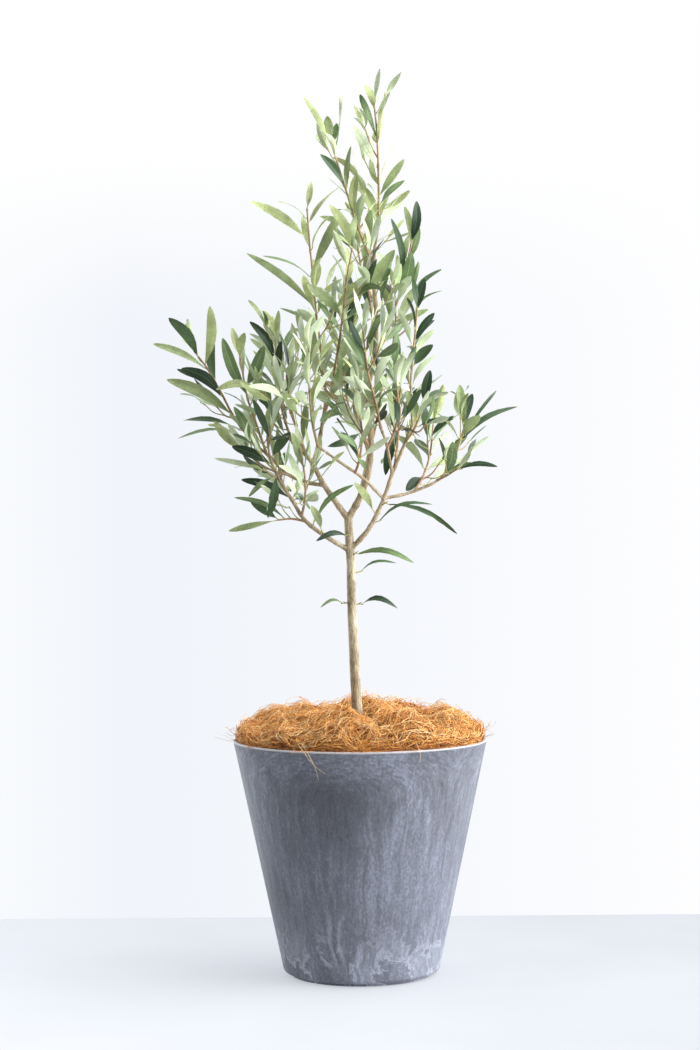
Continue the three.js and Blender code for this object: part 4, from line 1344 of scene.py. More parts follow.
# Upper sides from the darkest to the palest, then undersides, ribs and petiole.
UPPER_SKINS = (
    LeafSkin("upper_deep", tone(44, 64, 42), 0.42),
    LeafSkin("upper_dark", tone(68, 91, 58), 0.44),
    LeafSkin("upper_green", tone(102, 125, 79), 0.46),
    LeafSkin("upper_grey", tone(142, 157, 107), 0.48),
    LeafSkin("upper_olive", tone(168, 179, 121), 0.5),
    LeafSkin("upper_fresh", tone(184, 192, 136), 0.5),
    LeafSkin("upper_lit", tone(200, 213, 174), 0.5),
)
UNDER_SKINS = (
    LeafSkin("under_silver", tone(196, 208, 174), 0.66, 0.1, shine=0.2),
    LeafSkin("under_grey", tone(172, 185, 144), 0.68, 0.1, shine=0.2),
    LeafSkin("under_fresh", tone(190, 199, 155), 0.64, 0.1, shine=0.2),
)
RIB_SKINS = (
    LeafSkin("rib_deep", tone(84, 102, 70), 0.48, 0.08),
    LeafSkin("rib_pale", tone(154, 166, 120), 0.48, 0.08),
    LeafSkin("rib_under", tone(198, 204, 172), 0.55, 0.08),
    LeafSkin("petiole", tone(176, 170, 104), 0.5, 0.1),
)
TRUNK_BARK = Bark("trunk", tone(92, 80, 58), tone(154, 139, 110), tone(206, 195, 170))
TWIG_BARKS = (
    Bark("twig_tan", tone(114, 96, 74), tone(156, 136, 108), tone(194, 178, 148), 0.4),
    Bark("twig_rust", tone(116, 88, 62), tone(158, 126, 94), tone(192, 164, 130), 0.4),
    Bark("twig_green", tone(116, 124, 70), tone(154, 158, 96), tone(186, 188, 130), 0.4),
)
# Coir tints from the darkest to the palest. Fibres that lie low take the dark ones as painted shade,
# and those that lie high take the pale ones as painted light.
COIR_TINTS = (
    CoirFibre("dark", tone(128, 76, 36)),
    CoirFibre("rust", tone(184, 114, 50)),
    CoirFibre("orange", tone(222, 154, 72)),
    CoirFibre("tan", tone(232, 178, 104)),
    CoirFibre("straw", tone(234, 200, 142)),
)
# The mat is coloured dark as painted shade in the gaps between the fibres.
SHADED_COIR_MAT = CoirFibre("mat", tone(84, 47, 23), 0.95)


# ---- Modelling ----


def deselect_all() -> None:
    """Leaves nothing selected, so that operators act on new pieces alone."""
    bpy.ops.object.select_all(action="DESELECT")


def only(piece: bpy.types.Object) -> None:
    """Selects one piece and makes it the active one."""
    deselect_all()
    piece.select_set(True)
    bpy.context.view_layer.objects.active = piece


def new_piece(name: str, data: bpy.types.ID) -> bpy.types.Object:
    """Puts new data into the scene as a piece, the only one selected."""
    piece = bpy.data.objects.new(name, data)
    bpy.context.scene.collection.objects.link(piece)
    only(piece)
    return piece


def smooth(piece: bpy.types.Object, crease: float) -> None:
    """Shades a piece smooth, apart from edges sharper than a crease in degrees."""
    only(piece)
    bpy.ops.object.shade_smooth_by_angle(angle=math.radians(crease))


def put(piece: bpy.types.Object, slot: Slot, *nodes: str) -> None:
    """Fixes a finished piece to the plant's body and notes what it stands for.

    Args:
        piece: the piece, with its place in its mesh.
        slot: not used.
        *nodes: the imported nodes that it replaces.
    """
    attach(piece, BODY)
    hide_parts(*nodes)
    faces = len(piece.data.polygons)
    log.info("%s: %d faces, %s", piece.name, faces, ", ".join(nodes))


def turned_piece(name: str, outline: Sequence[tuple[float, float]], segments: int) -> bpy.types.Object:
    """Models a solid of revolution: a disc that is drawn out ring by ring, with both ends filled.

    Args:
        name: the piece's name.
        outline: radius and height of each ring.
        segments: faces round the axis.

    Returns:
        The piece.
    """
    deselect_all()
    radius, height = outline[0]
    bpy.ops.mesh.primitive_circle_add(
        vertices=segments, radius=radius * MM, fill_type="NGON", location=(0, 0, height * MM)
    )
    piece = bpy.context.object
    piece.name = piece.data.name = name
    bpy.ops.object.transform_apply(location=True)
    bpy.ops.object.mode_set(mode="EDIT")
    for (radius, height), (wider, higher) in pairwise(outline):
        bpy.ops.mesh.extrude_region_move(
            TRANSFORM_OT_translate={"value": (0, 0, (higher - height) * MM)}
        )
        share = wider / radius
        bpy.ops.transform.resize(value=(share, share, 1), center_override=(0, 0, higher * MM))
    bpy.ops.mesh.select_all(action="SELECT")
    bpy.ops.mesh.normals_make_consistent(inside=False)
    bpy.ops.object.mode_set(mode="OBJECT")
    return piece


def arc(
    centre: tuple[float, float], radius: float, start: float, end: float, steps: int
) -> list[tuple[float, float]]:
    """Points of an arc in the outline's plane, with its angles in degrees."""
    angles = [math.radians(start + (end - start) * i / steps) for i in range(steps + 1)]
    return [(centre[0] + radius * math.cos(a), centre[1] + radius * math.sin(a)) for a in angles]


class Soup:
    """Loose closed shapes joined into one mesh from arrays."""

    def __init__(self) -> None:
        """Starts with no shapes."""
        self.points: list[np.ndarray] = []
        self.faces: list[tuple[int, ...]] = []
        self.tints: list[int] = []
        self.count = 0

    def add(self, points: np.ndarray, faces: Iterable[Sequence[int]], tints: Iterable[int]) -> None:
        """Adds a shape: its points, its faces by number, and the finish of each face."""
        self.faces.extend(tuple(self.count + i for i in face) for face in faces)
        self.tints.extend(tints)
        self.points.append(points)
        self.count += len(points)

    def tube(self, places: np.ndarray, radii: np.ndarray, sides: int, tint: int) -> None:
        """Adds a round tube along places in one finish."""
        faces = tube_faces(len(places), sides)
        self.add(tube_points(places, radii, sides), faces, [tint] * len(faces))

    def piece(
        self, name: str, finishes: Sequence[bpy.types.Material], crease: float
    ) -> bpy.types.Object:
        """Makes the mesh.

        Args:
            name: the piece's name.
            finishes: its materials, in the order of the faces' numbers.
            crease: angle in degrees past which an edge stays sharp.

        Returns:
            The piece.
        """
        mesh = bpy.data.meshes.new(name)
        mesh.from_pydata(np.vstack(self.points) * MM, [], self.faces)
        for finish in finishes:
            mesh.materials.append(finish)
        mesh.polygons.foreach_set("material_index", self.tints)
        mesh.update()
        piece = new_piece(name, mesh)
        smooth(piece, crease)
        return piece


@cache
def tube_faces(rings: int, sides: int) -> list[tuple[int, ...]]:
    """Faces of a tube of rings, with a filled end at its foot and at its tip."""
    faces: list[tuple[int, ...]] = [tuple(reversed(range(sides)))]
    for ring in range(rings - 1):
        for side in range(sides):
            here, there = ring * sides + side, ring * sides + (side + 1) % sides
            faces.append((here, there, there + sides, here + sides))
    faces.append(tuple(range((rings - 1) * sides, rings * sides)))
    return faces


def tube_points(places: np.ndarray, radii: np.ndarray, sides: int) -> np.ndarray:
    """Points of a round tube along places, with a frame that doesn't twist.

    Args:
        places: centres of its rings.
        radii: radius of each ring.
        sides: points in a ring.

    Returns:
        The points, ring by ring.
    """
    angles = np.arange(sides) * 2 * math.pi / sides
    tangents = np.gradient(places, axis=0)
    tangents /= np.linalg.norm(tangents, axis=1)[:, None]
    right = unit(np.cross(BACK if abs(tangents[0][1]) < 0.8 else UP, tangents[0]))
    rings = []
    for place, tangent, radius in zip(places, tangents, radii):
        right = unit(right - tangent * np.dot(right, tangent))
        back = np.cross(tangent, right)
        ring = np.outer(np.cos(angles), right) + np.outer(np.sin(angles), back)
        rings.append(place + ring * radius)
    return np.vstack(rings)


# ---- Planter, soil and coir ----


@dataclass
class Planter:
    """The planter's shell, with a rounded rim, a recessed foot and a closed floor."""

    segments: int = 160
    stone: MarbledStone = MarbledStone()

    def outline(self) -> list[tuple[float, float]]:
        """The shell's outline, from its foot up the outside and down the inside."""
        pot = POT
        corner = pot.outer(pot.stand_height + pot.edge) - pot.edge
        side = [(pot.outer(z), z) for z in np.linspace(20, pot.height - pot.lip - 1, 12)]
        return [
            (pot.stand_radius, 0),
            (pot.stand_radius, pot.stand_height),
            *arc((corner, pot.stand_height + pot.edge), pot.edge, -90, -10, 6),
            *side,
            *arc((pot.rim_radius - pot.lip, pot.height - pot.lip), pot.lip, 0, 90, 4),
            *arc((pot.rim_radius - pot.wall + pot.lip, pot.height - pot.lip), pot.lip, 90, 180, 4),
            (pot.inner(SOIL_TOP - 10), SOIL_TOP - 10),
            (pot.inner(pot.floor), pot.floor),
        ]

    def build(self) -> None:
        """Models the shell and dresses it."""
        shell = turned_piece("planter_shell", self.outline(), self.segments)
        shell.data.materials.append(self.stone.material())
        smooth(shell, 35)
        put(shell, Slot.PLANTER, "planter")


@dataclass
class Ground:
    """The soil in the planter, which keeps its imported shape."""

    earth: Earth = Earth()

    def build(self) -> None:
        """Dresses the soil."""
        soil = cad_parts["soil"]
        soil.data.materials.clear()
        soil.data.materials.append(self.earth.material())
        log.info("soil: packed shape")


class Lie(Enum):
    """How a fibre lies, with the shares of the mound's area between which it starts."""

    LOOSE = (0, 1)
    EDGING = (0.72, 1)
    STRAY = (0.6, 0.95)


HANGING_FIBRES: tuple[tuple[Point, ...], ...] = (
    ((-60, -114, 257), (-57, -125, 254), (-52, -130.5, 246), (-46, -129.5, 234), (-43, -127.5, 221)),
    ((-64, -112, 258), (-62, -123, 255), (-56, -129.5, 248), (-49, -128.8, 238), (-36, -131, 228)),
    ((57, -118, 257), (59, -126, 253), (61, -127, 246), (60, -125, 238)),
)


@dataclass
class Coir:
    """A lumpy mound of coconut fibre that fills the planter's mouth."""

    heights: tuple[tuple[float, float], ...] = (
        (0, 266), (60, 270), (92, 269), (108, 266), (121, 260), (129, 253), (134, 248),
    )
    lump: float = 19
    lump_size: float = 40
    tuft: float = 0.45
    tuft_size: float = 16
    sunk: float = 3
    edge_lump: tuple[float, float] = (0.3, 1)  # share of the lumps at the rim and at the middle
    mound_radius: float = 132
    segments: int = 96
    rings: int = 26
    fibres: int = 13500
    edging: int = 1500
    strays: int = 240
    sides: int = 3
    joints: int = 7
    length: tuple[float, float] = (26, 78)
    radius: tuple[float, float] = (0.16, 0.4)
    pieces: int = 3
    flow_size: float = 30
    hole_size: float = 19
    hole_level: float = 0.06
    most_back: float = 148
    hold: tuple[float, float] = (0.93, 1)  # how far out a loose fibre may run
    swirl: float = 9
    aim_play: float = 1.5
    stray_aim_play: float = 1.1
    stray_length: float = 0.42
    bend: float = 2.6
    curl: tuple[float, float] = (0.2, 1.2)
    pitch: tuple[float, float] = (1.2, 3.4)
    over: tuple[float, float] = (-2.5, 5)
    over_in_hole: float = -0.8
    arch: tuple[float, float] = (0.5, 13)
    arch_in_hole: float = 0.3
    lift: tuple[float, float] = (3, 16)
    lowest: float = POT.height - 4
    lowest_stray: float = POT.height + 0.6
    tint_play: tuple[float, float] = (-1.2, 1.6)
    hanging_tints: tuple[float, float] = (2.6, 4.4)
    seed: int = 5

    def height(self, x: float, y: float) -> float:
        """Height of the mat under the loose fibres at a place."""
        radii, heights = zip(*self.heights)
        level = float(np.interp(math.hypot(x, y), radii, heights))
        lumps = noise.noise(Vector((x, y, 0)) / self.lump_size)
        tufts = noise.noise(Vector((x, y, 60)) / self.tuft_size)
        edge = 1 - min(1.0, (math.hypot(x, y) / self.mound_radius) ** 6)
        lumps += self.tuft * tufts
        return level + self.lump * lumps * lerp(self.edge_lump, edge)

    def mat(self) -> None:
        """Models the matted layer that shows in the gaps, coloured dark as painted shade in them."""
        floor = SOIL_TOP + CLEAR
        top = [(self.mound_radius * (1 - i / self.rings), POT.height) for i in range(self.rings)]
        outline = [(POT.inner(floor) - CLEAR, floor), *top]
        mound = turned_piece("coir_mat", outline, self.segments)
        for vertex in mound.data.vertices:
            x, y, z = vertex.co / MM
            if z > POT.height - 1:
                vertex.co.z = (self.height(x, y) - self.sunk) * MM
        mound.data.materials.append(SHADED_COIR_MAT.material())
        only(mound)
        bpy.ops.object.shade_smooth()
        put(mound, Slot.COIR, "coir_mulch")

    def fibre(self, draw: Draws, lie: Lie) -> tuple[np.ndarray, float]:
        """The course of one fibre, and how high it lies over the mat.

        Args:
            draw: the seeded numbers.
            lie: how it lies.

        Returns:
            Points on the fibre's axis, and its height over the mat at its middle.
        """
        reach = self.mound_radius + 1
        hold = reach * draw.between(*self.hold)
        bearing = draw.between(0, 2 * math.pi)
        radius = reach * math.sqrt(draw.between(*lie.value))
        stray = lie is Lie.STRAY
        x, y = radius * math.cos(bearing), radius * math.sin(bearing)
        flow = noise.noise(Vector((x, y, 120)) / self.flow_size)
        hole = noise.noise(Vector((x, y, 200)) / self.hole_size) > self.hole_level
        heading = self.swirl * flow + draw.play(self.aim_play) + math.pi * (draw() < 0.5)
        if stray:
            heading = bearing + draw.play(self.stray_aim_play)
        length = draw.between(*self.length) * (self.stray_length if stray else 1)
        bend = draw.play(self.bend)
        curl, pitch = draw.between(*self.curl), draw.between(*self.pitch)
        phase = draw.between(0, 6.3)
        over = draw.between(self.over[0], self.over_in_hole if hole else self.over[1])
        arch = draw.between(*self.arch) * draw() * (self.arch_in_hole if hole else 1)
        lift = draw.between(*self.lift) if stray else 0
        lowest = self.lowest_stray if stray else self.lowest
        places = []
        step = length / (self.joints - 1)
        for i in range(self.joints):
            share = i / (self.joints - 1)
            turn = heading + bend * share + curl * math.sin(pitch * 2 * math.pi * share + phase)
            x, y = x + step * math.cos(turn), y + step * math.sin(turn)
            out = math.hypot(x, y)
            if not stray and out > hold:
                x, y = x * hold / out, y * hold / out
            y = max(-self.most_back, min(self.most_back, y))
            z = self.height(x, y) + over + arch * math.sin(math.pi * share) + lift * share**1.6
            places.append((x, y, max(z, lowest)))
        return np.array(places), over

    def hang(self, soup: Soup, draw: Draws) -> None:
        """Adds the few fibres that hang over the rim."""
        for course in HANGING_FIBRES:
            places = Axis(course, self.joints).curve(self.joints - 1)
            radii = self.radius[0] * np.linspace(1.4, 0.7, self.joints)
            tint = round(draw.between(*self.hanging_tints))
            soup.tube(places, radii, self.sides, tint)

    def build(self) -> None:
        """Models the mat and the fibres and dresses them."""
        self.mat()
        draw = Draws(self.seed)
        finishes = [tint.material() for tint in COIR_TINTS]
        counts = {Lie.LOOSE: self.fibres, Lie.EDGING: self.edging, Lie.STRAY: self.strays}
        lies = [lie for lie, count in counts.items() for _ in range(count // self.pieces)]
        for number in range(self.pieces):
            soup = Soup()
            for lie in lies:
                places, over = self.fibre(draw, lie)
                thick = draw.between(*self.radius)
                radii = thick * np.linspace(1, 0.5, self.joints)
                # Tint by height over the mat, with random play: darker low down as painted shade, paler
                # high up as painted light.
                level = (over + 2.5) / 7 * 3 + draw.between(*self.tint_play)
                tint = min(len(finishes) - 1, max(0, round(level)))
                soup.tube(places, radii, self.sides, tint)
            if number == 0:
                self.hang(soup, draw)
            piece = soup.piece(f"coir_fibres_{number + 1}", finishes, 80)
            put(piece, Slot.COIR, "coir_mulch")


# ---- Wood ----


@dataclass
class Wood:
    """Trunk and boughs in one skin, with bark relief and swollen leaf scars."""

    tree: Tree
    voxel: float = 0.6
    smoothing: int = 3
    scar_spacing: float = 17
    scar_swell: float = 0.14
    scar_width: float = 2.2
    sway: float = 0.5
    sway_size: float = 34
    relief: tuple[tuple[float, float, float], ...] = ((9, 0.5, 0.5), (2.2, 0.35, 0.25))
    bark: Bark = TRUNK_BARK

    def swollen(self, distance: float) -> float:
        """How much a limb swells at a distance from its foot, for its old leaf scars."""
        off = (distance + self.scar_spacing / 2) % self.scar_spacing - self.scar_spacing / 2
        return 1 + self.scar_swell * math.exp(-((off / self.scar_width) ** 2))

    def curves(self) -> bpy.types.Object:
        """Draws every limb as a curve with its radius at each point."""
        curve = bpy.data.curves.new("wood", "CURVE")
        curve.dimensions = "3D"
        curve.bevel_depth = MM
        curve.bevel_resolution = 5
        curve.use_fill_caps = True
        for number, (name, limb) in enumerate(self.tree.limbs.items()):
            places = limb.axis.curve(limb.axis.divisions * 10)
            lengths = Axis.measured(places)
            spline = curve.splines.new("POLY")
            spline.points.add(len(places) - 1)
            for point, place, distance in zip(spline.points, places, lengths):
                offset = Vector((number * 7, 0, 0))
                drift = noise.noise_vector(Vector(place) / self.sway_size + offset)
                hold = math.sin(math.pi * distance / lengths[-1]) * self.sway
                spot = Vector(place) + drift * hold
                point.co = (*(spot * MM), 1)
                swell = self.swollen(distance) if name != "trunk" else 1
                point.radius = limb.radius_at(distance / lengths[-1]) * swell
        return new_piece("wood_skin", curve)

    def build(self) -> None:
        """Models the skin and dresses it."""
        piece = self.curves()
        bpy.ops.object.convert(target="MESH")
        self.modify(piece, "REMESH", mode="VOXEL", voxel_size=self.voxel * MM, use_smooth_shade=True)
        self.modify(piece, "SMOOTH", factor=0.5, iterations=self.smoothing)
        for size, strength, stretch in self.relief:
            self.roughen(piece, size, strength, stretch)
        bpy.ops.object.mode_set(mode="EDIT")
        bpy.ops.mesh.select_all(action="SELECT")
        bpy.ops.mesh.bisect(
            plane_co=(0, 0, (SOIL_TOP + CLEAR) * MM), plane_no=(0, 0, 1),
            use_fill=True, clear_inner=True,
        )
        bpy.ops.object.mode_set(mode="OBJECT")
        piece.data.materials.append(self.bark.material())
        smooth(piece, 50)
        put(piece, Slot.BARK, *self.tree.limbs)

    def modify(self, piece: bpy.types.Object, kind: str, **settings: object) -> None:
        """Adds a modifier with its settings and applies it."""
        only(piece)
        bpy.ops.object.modifier_add(type=kind)
        modifier = piece.modifiers[-1]
        for key, value in settings.items():
            setattr(modifier, key, value)
        bpy.ops.object.modifier_apply(modifier=modifier.name)

    def roughen(self, piece: bpy.types.Object, size: float, strength: float, stretch: float) -> None:
        """Raises relief on the bark, drawn out along the trunk.

        Args:
            piece: the skin.
            size: width of the relief.
            strength: its depth.
            stretch: its width as a share of its length.
        """
        texture = bpy.data.textures.new("relief", "CLOUDS")
        texture.noise_scale = size * MM
        texture.noise_depth = 2
        deselect_all()
        bpy.ops.object.empty_add(location=(0, 0, 0))
        guide = bpy.context.object
        guide.scale = (1, 1, 1 / stretch)
        bpy.context.view_layer.update()
        self.modify(
            piece, "DISPLACE", texture=texture, texture_coords="OBJECT",
            texture_coords_object=guide, strength=strength * MM, mid_level=0.5,
        )
        bpy.data.objects.remove(guide)
        only(piece)


# ---- Foliage ----


@dataclass
class LeafForm:
    """The form of one leaf: a lance-shaped blade with a raised rib on a short petiole."""

    rows: tuple[float, ...] = (0, 0.1, 0.25, 0.42, 0.58, 0.74, 0.87, 0.95, 1)
    columns: tuple[float, ...] = (-1, -0.56, -0.05, 0.05, 0.56, 1)
    petiole_radius: float = 0.62
    petiole_sides: int = 4
    widest: float = 0.56
    blunt: float = 0.1
    slender: float = 0.85  # share of the full width that the drawn-in blade keeps
    bow: tuple[float, float] = (0, 0.11)  # rise of its middle under its own weight
    thickness: float = 0.5
    rib: float = 0.3
    sickle: float = 0.07
    curl: tuple[float, float] = (-0.02, 0.08)
    fold: tuple[float, float] = (-0.1, 0.34)
    twist: float = 0.65
    ripple: float = 0.03
    neck: float = 2
    petiole_swell: Point = (1.25, 0.9, 0.8)

    def half_width(self, share: float) -> float:
        """Half the blade's width at a share of its length, for a blade of width 2."""
        if share < self.widest:
            return math.sin(math.pi / 2 * share / self.widest) ** 0.95
        onward = (share - self.widest) / (1 - self.widest)
        return max(self.blunt, (1 - onward**2.3) ** 0.62)

    def faces(self) -> tuple[list[tuple[int, ...]], list[int]]:
        """Faces of a leaf and the part of it that each shows.

        Returns:
            The faces, and for each 0 for upper, 1 for under, 2 for upper rib, 3 for lower rib
            and 4 for petiole.
        """
        wide = len(self.columns)
        ring = 2 * wide - 2
        faces: list[tuple[int, ...]] = [tuple(range(ring))]
        parts = [1]
        for row in range(len(self.rows) - 1):
            for side in range(ring):
                here, there = row * ring + side, row * ring + (side + 1) % ring
                faces.append((here, here + ring, there + ring, there))
                upper = side < wide - 1
                middle = side in (wide // 2 - 1, wide - 1 + wide // 2 - 1)
                parts.append((0 if upper else 1) + (2 if middle else 0))
        last = (len(self.rows) - 1) * ring
        faces.append(tuple(reversed(range(last, last + ring))))
        parts.append(1)
        base = len(self.rows) * ring
        petiole = tube_faces(3, self.petiole_sides)
        faces.extend(tuple(base + i for i in face) for face in petiole)
        parts.extend([4] * len(petiole))
        return faces, parts

    def points(self, leaf: Leaf, draw: Draws) -> np.ndarray:
        """Points of one leaf.

        Args:
            leaf: where it lies.
            draw: the seeded numbers for its play.

        Returns:
            The blade's points, ring by ring, and then the petiole's.
        """
        length = float(np.linalg.norm(leaf.tip - leaf.root))
        t = LEAF.belly
        control = (leaf.belly - (1 - t) ** 2 * leaf.start - t**2 * leaf.tip) / (2 * t * (1 - t))
        sickle = draw.play(self.sickle) * length
        curl = draw.between(*self.curl) * length
        fold = draw.between(*self.fold)
        twist = draw.play(self.twist)
        ripple = draw.between(0, self.ripple) * length
        wave = draw.between(0, 6.3)
        direction = unit(leaf.tip - leaf.root)
        level = UP - direction * direction[2]
        bow = draw.between(*self.bow) * length
        width = leaf.width * self.slender
        rings = []
        for share in self.rows:
            spine = (1 - share) ** 2 * leaf.start + 2 * share * (1 - share) * control
            spine = spine + share**2 * leaf.tip
            spine = spine + (leaf.side * sickle + level * bow) * math.sin(math.pi * share)
            spine = spine - leaf.upper * curl * share**2
            side = turned_about(leaf.side, direction, twist * (share - LEAF.belly))
            upper = np.cross(side, direction)
            half = max(self.petiole_radius * (1 - share), self.half_width(share) * width / 2)
            top, under = [], []
            for column in self.columns:
                lift = abs(column) * fold * half + ripple * column * math.sin(5 * share + wave)
                place = spine + side * column * half + upper * lift
                inner = 1 - abs(column) ** 3
                rib = self.rib if abs(column) < 0.2 else 0
                depth = (self.thickness + rib) * inner * (1 - 0.7 * share)
                top.append(place + upper * (self.thickness / 2 * inner - rib * 0.4))
                under.append(place - upper * depth)
            rings.extend([*top, *reversed(under[1:-1])])
        middle = (leaf.root + leaf.start) / 2
        course = np.array((leaf.root, middle, leaf.start + direction * self.neck))
        radii = self.petiole_radius * np.array(self.petiole_swell)
        stalk = tube_points(course, radii, self.petiole_sides)
        return np.vstack([np.array(rings), stalk])


@dataclass
class Foliage:
    """All twigs and leaves, in a piece of each kind for every mass."""

    tree: Tree
    form: LeafForm = field(default_factory=LeafForm)
    sprout_form: LeafForm = field(default_factory=lambda: LeafForm(slender=0.62, bow=(0.1, 0.17)))
    sprout_stem: float = 0.55
    sides: int = 6
    ring_step: float = 3.5
    swell: float = 0.3
    swell_width: float = 1.5
    sway: float = 0.35
    sway_size: float = 15
    bud: tuple[float, float] = (1.6, 3)
    bud_share: float = 0.8
    bud_tip: float = 0.12
    turned_over: float = 0.34
    tint_play: float = 1.4
    ripe: float = 0.85
    # Height above which leaves take a paler tint, as painted light on the crown's top.
    lit_top_height: float = 850
    fresh: int = 4
    fresh_under: float = 0.6
    grey_under: float = 0.4
    rusty: float = 0.4
    seed: int = 90

    def __post_init__(self) -> None:
        """Makes the finishes that all masses share."""
        self.skins = [skin.material() for skin in (*UPPER_SKINS, *UNDER_SKINS, *RIB_SKINS)]
        self.barks = [bark.material() for bark in TWIG_BARKS]

    def tints(
        self, leaf: Leaf, spray: int, chosen: int | None, draw: Draws
    ) -> tuple[int, int, int, int, int]:
        """The finishes of a leaf's parts, dealt out by its spray and its age.

        Args:
            leaf: the leaf.
            spray: the lead tint of its spray.
            chosen: its own tint, if it has one.
            draw: the seeded numbers.

        Returns:
            Numbers of the finishes for upper, under, upper rib, lower rib and petiole.
        """
        shift = round(draw.play(self.tint_play)) + (leaf.ripeness > self.ripe)
        # Leaves whose tips are above this height take a paler tint: painted light on the top of the
        # crown.
        shift += leaf.tip[2] > self.lit_top_height
        upper = min(len(UPPER_SKINS) - 1, max(0, spray + shift)) if chosen is None else chosen
        fresh = upper >= self.fresh and draw() < self.fresh_under
        under = 2 if fresh else int(draw() < self.grey_under)
        first_under, first_rib = len(UPPER_SKINS), len(UPPER_SKINS) + len(UNDER_SKINS)
        top, low = (upper, first_rib + (upper > 1)), (first_under + under, first_rib + 2)
        if draw() < self.turned_over and chosen is None:
            top, low = low, top
        return top[0], low[0], top[1], low[1], first_rib + 3

    def leaves(self, growth: Growth, draw: Draws) -> None:
        """Models all leaves of a mass as one piece."""
        soup = Soup()
        faces, parts = self.form.faces()
        name = growth.mass.name
        form = self.sprout_form if name.startswith("sprout_") else self.form
        for number, leaves in enumerate(growth.sprays):
            spray = int(draw.between(*growth.mass.mood))
            for i, leaf in enumerate(leaves):
                own = growth.mass.leaves[i].tint if number == 0 else None
                tints = self.tints(leaf, spray, own, draw)
                soup.add(form.points(leaf, draw), faces, [tints[part] for part in parts])
        piece = soup.piece("leaves_" + name.removeprefix("foliage_"), self.skins, 50)
        put(piece, Slot.FOLIAGE, name)

    def twig(self, soup: Soup, shoot: Shoot, tint: int, number: int, share: float = 0.92) -> None:
        """Adds one twig: a round tube that swells at its leaf nodes and ends in a bud.

        Args:
            soup: what it is added to.
            shoot: where it runs.
            tint: the number of its bark.
            number: its own number, for its sway.
            share: how much of its grown thickness it keeps.
        """
        axis = shoot.axis
        rings = max(4, round(axis.length / self.ring_step))
        places = axis.curve(rings)
        lengths = Axis.measured(places)
        gap = lengths[-1] / shoot.nodes if shoot.nodes else lengths[-1] * 2
        radii = []
        for i, distance in enumerate(lengths):
            spot = Vector(places[i]) / self.sway_size + Vector((0, number, 0))
            drift = noise.noise_vector(spot)
            hold = math.sin(math.pi * distance / lengths[-1])
            places[i] += np.array(drift) * self.sway * hold
            off = (distance + gap / 2) % gap - gap / 2
            swell = 1 + self.swell * math.exp(-((off / self.swell_width) ** 2))
            radii.append(shoot.radius_at(distance / lengths[-1]) * swell * share)
        growing = unit(places[-1] - places[-2])
        places = np.vstack([places, *(places[-1] + growing * reach for reach in self.bud)])
        radii = np.array([*radii, radii[-1] * self.bud_share, self.bud_tip])
        soup.tube(places, radii, self.sides, tint)

    def wood(self, growth: Growth, draw: Draws) -> None:
        """Models all twigs of a mass as one piece."""
        soup = Soup()
        if growth.mass.name.startswith("sprout_"):
            self.twig(soup, growth.stem, 2, 0, self.sprout_stem)
        else:
            self.twig(soup, growth.stem, int(draw() < self.rusty), 0)
        for number, shoot in enumerate(growth.twigs, 1):
            self.twig(soup, shoot, int(draw.between(0, 3)), number)
        for number, shoot in enumerate(growth.young, 40):
            self.twig(soup, shoot, 2, number)
        piece = soup.piece("twigs_" + growth.mass.name.removeprefix("foliage_"), self.barks, 60)
        put(piece, Slot.BARK, growth.mass.name)

    def build(self) -> None:
        """Models and dresses every mass."""
        for number, growth in enumerate(self.tree.growths.values()):
            draw = Draws(self.seed + number)
            self.leaves(growth, draw)
            self.wood(growth, draw)


# ---- Studio ----


@dataclass(frozen=True)
class Lamp:
    """A soft lamp: its place, what it looks at, its size, power and colour."""

    name: str
    place: Point
    aim: Point
    size: float
    power: float
    colour: tuple[float, float, float] = (1.0, 1.0, 1.0)

    def build(self) -> None:
        """Hangs the lamp."""
        reach = Vector(self.aim) - Vector(self.place)
        turn = reach.to_track_quat("-Z", "Y").to_euler()
        bpy.ops.object.light_add(type="AREA", location=self.place, rotation=turn)
        lamp = bpy.context.object
        lamp.name = self.name
        lamp.data.size = self.size
        lamp.data.energy = self.power
        lamp.data.color = self.colour


@dataclass(frozen=True)
class Glow:
    """A soft bright part of the daylight: its direction, its edge as a cosine, and its strength."""

    towards: Point
    start: float
    strength: float


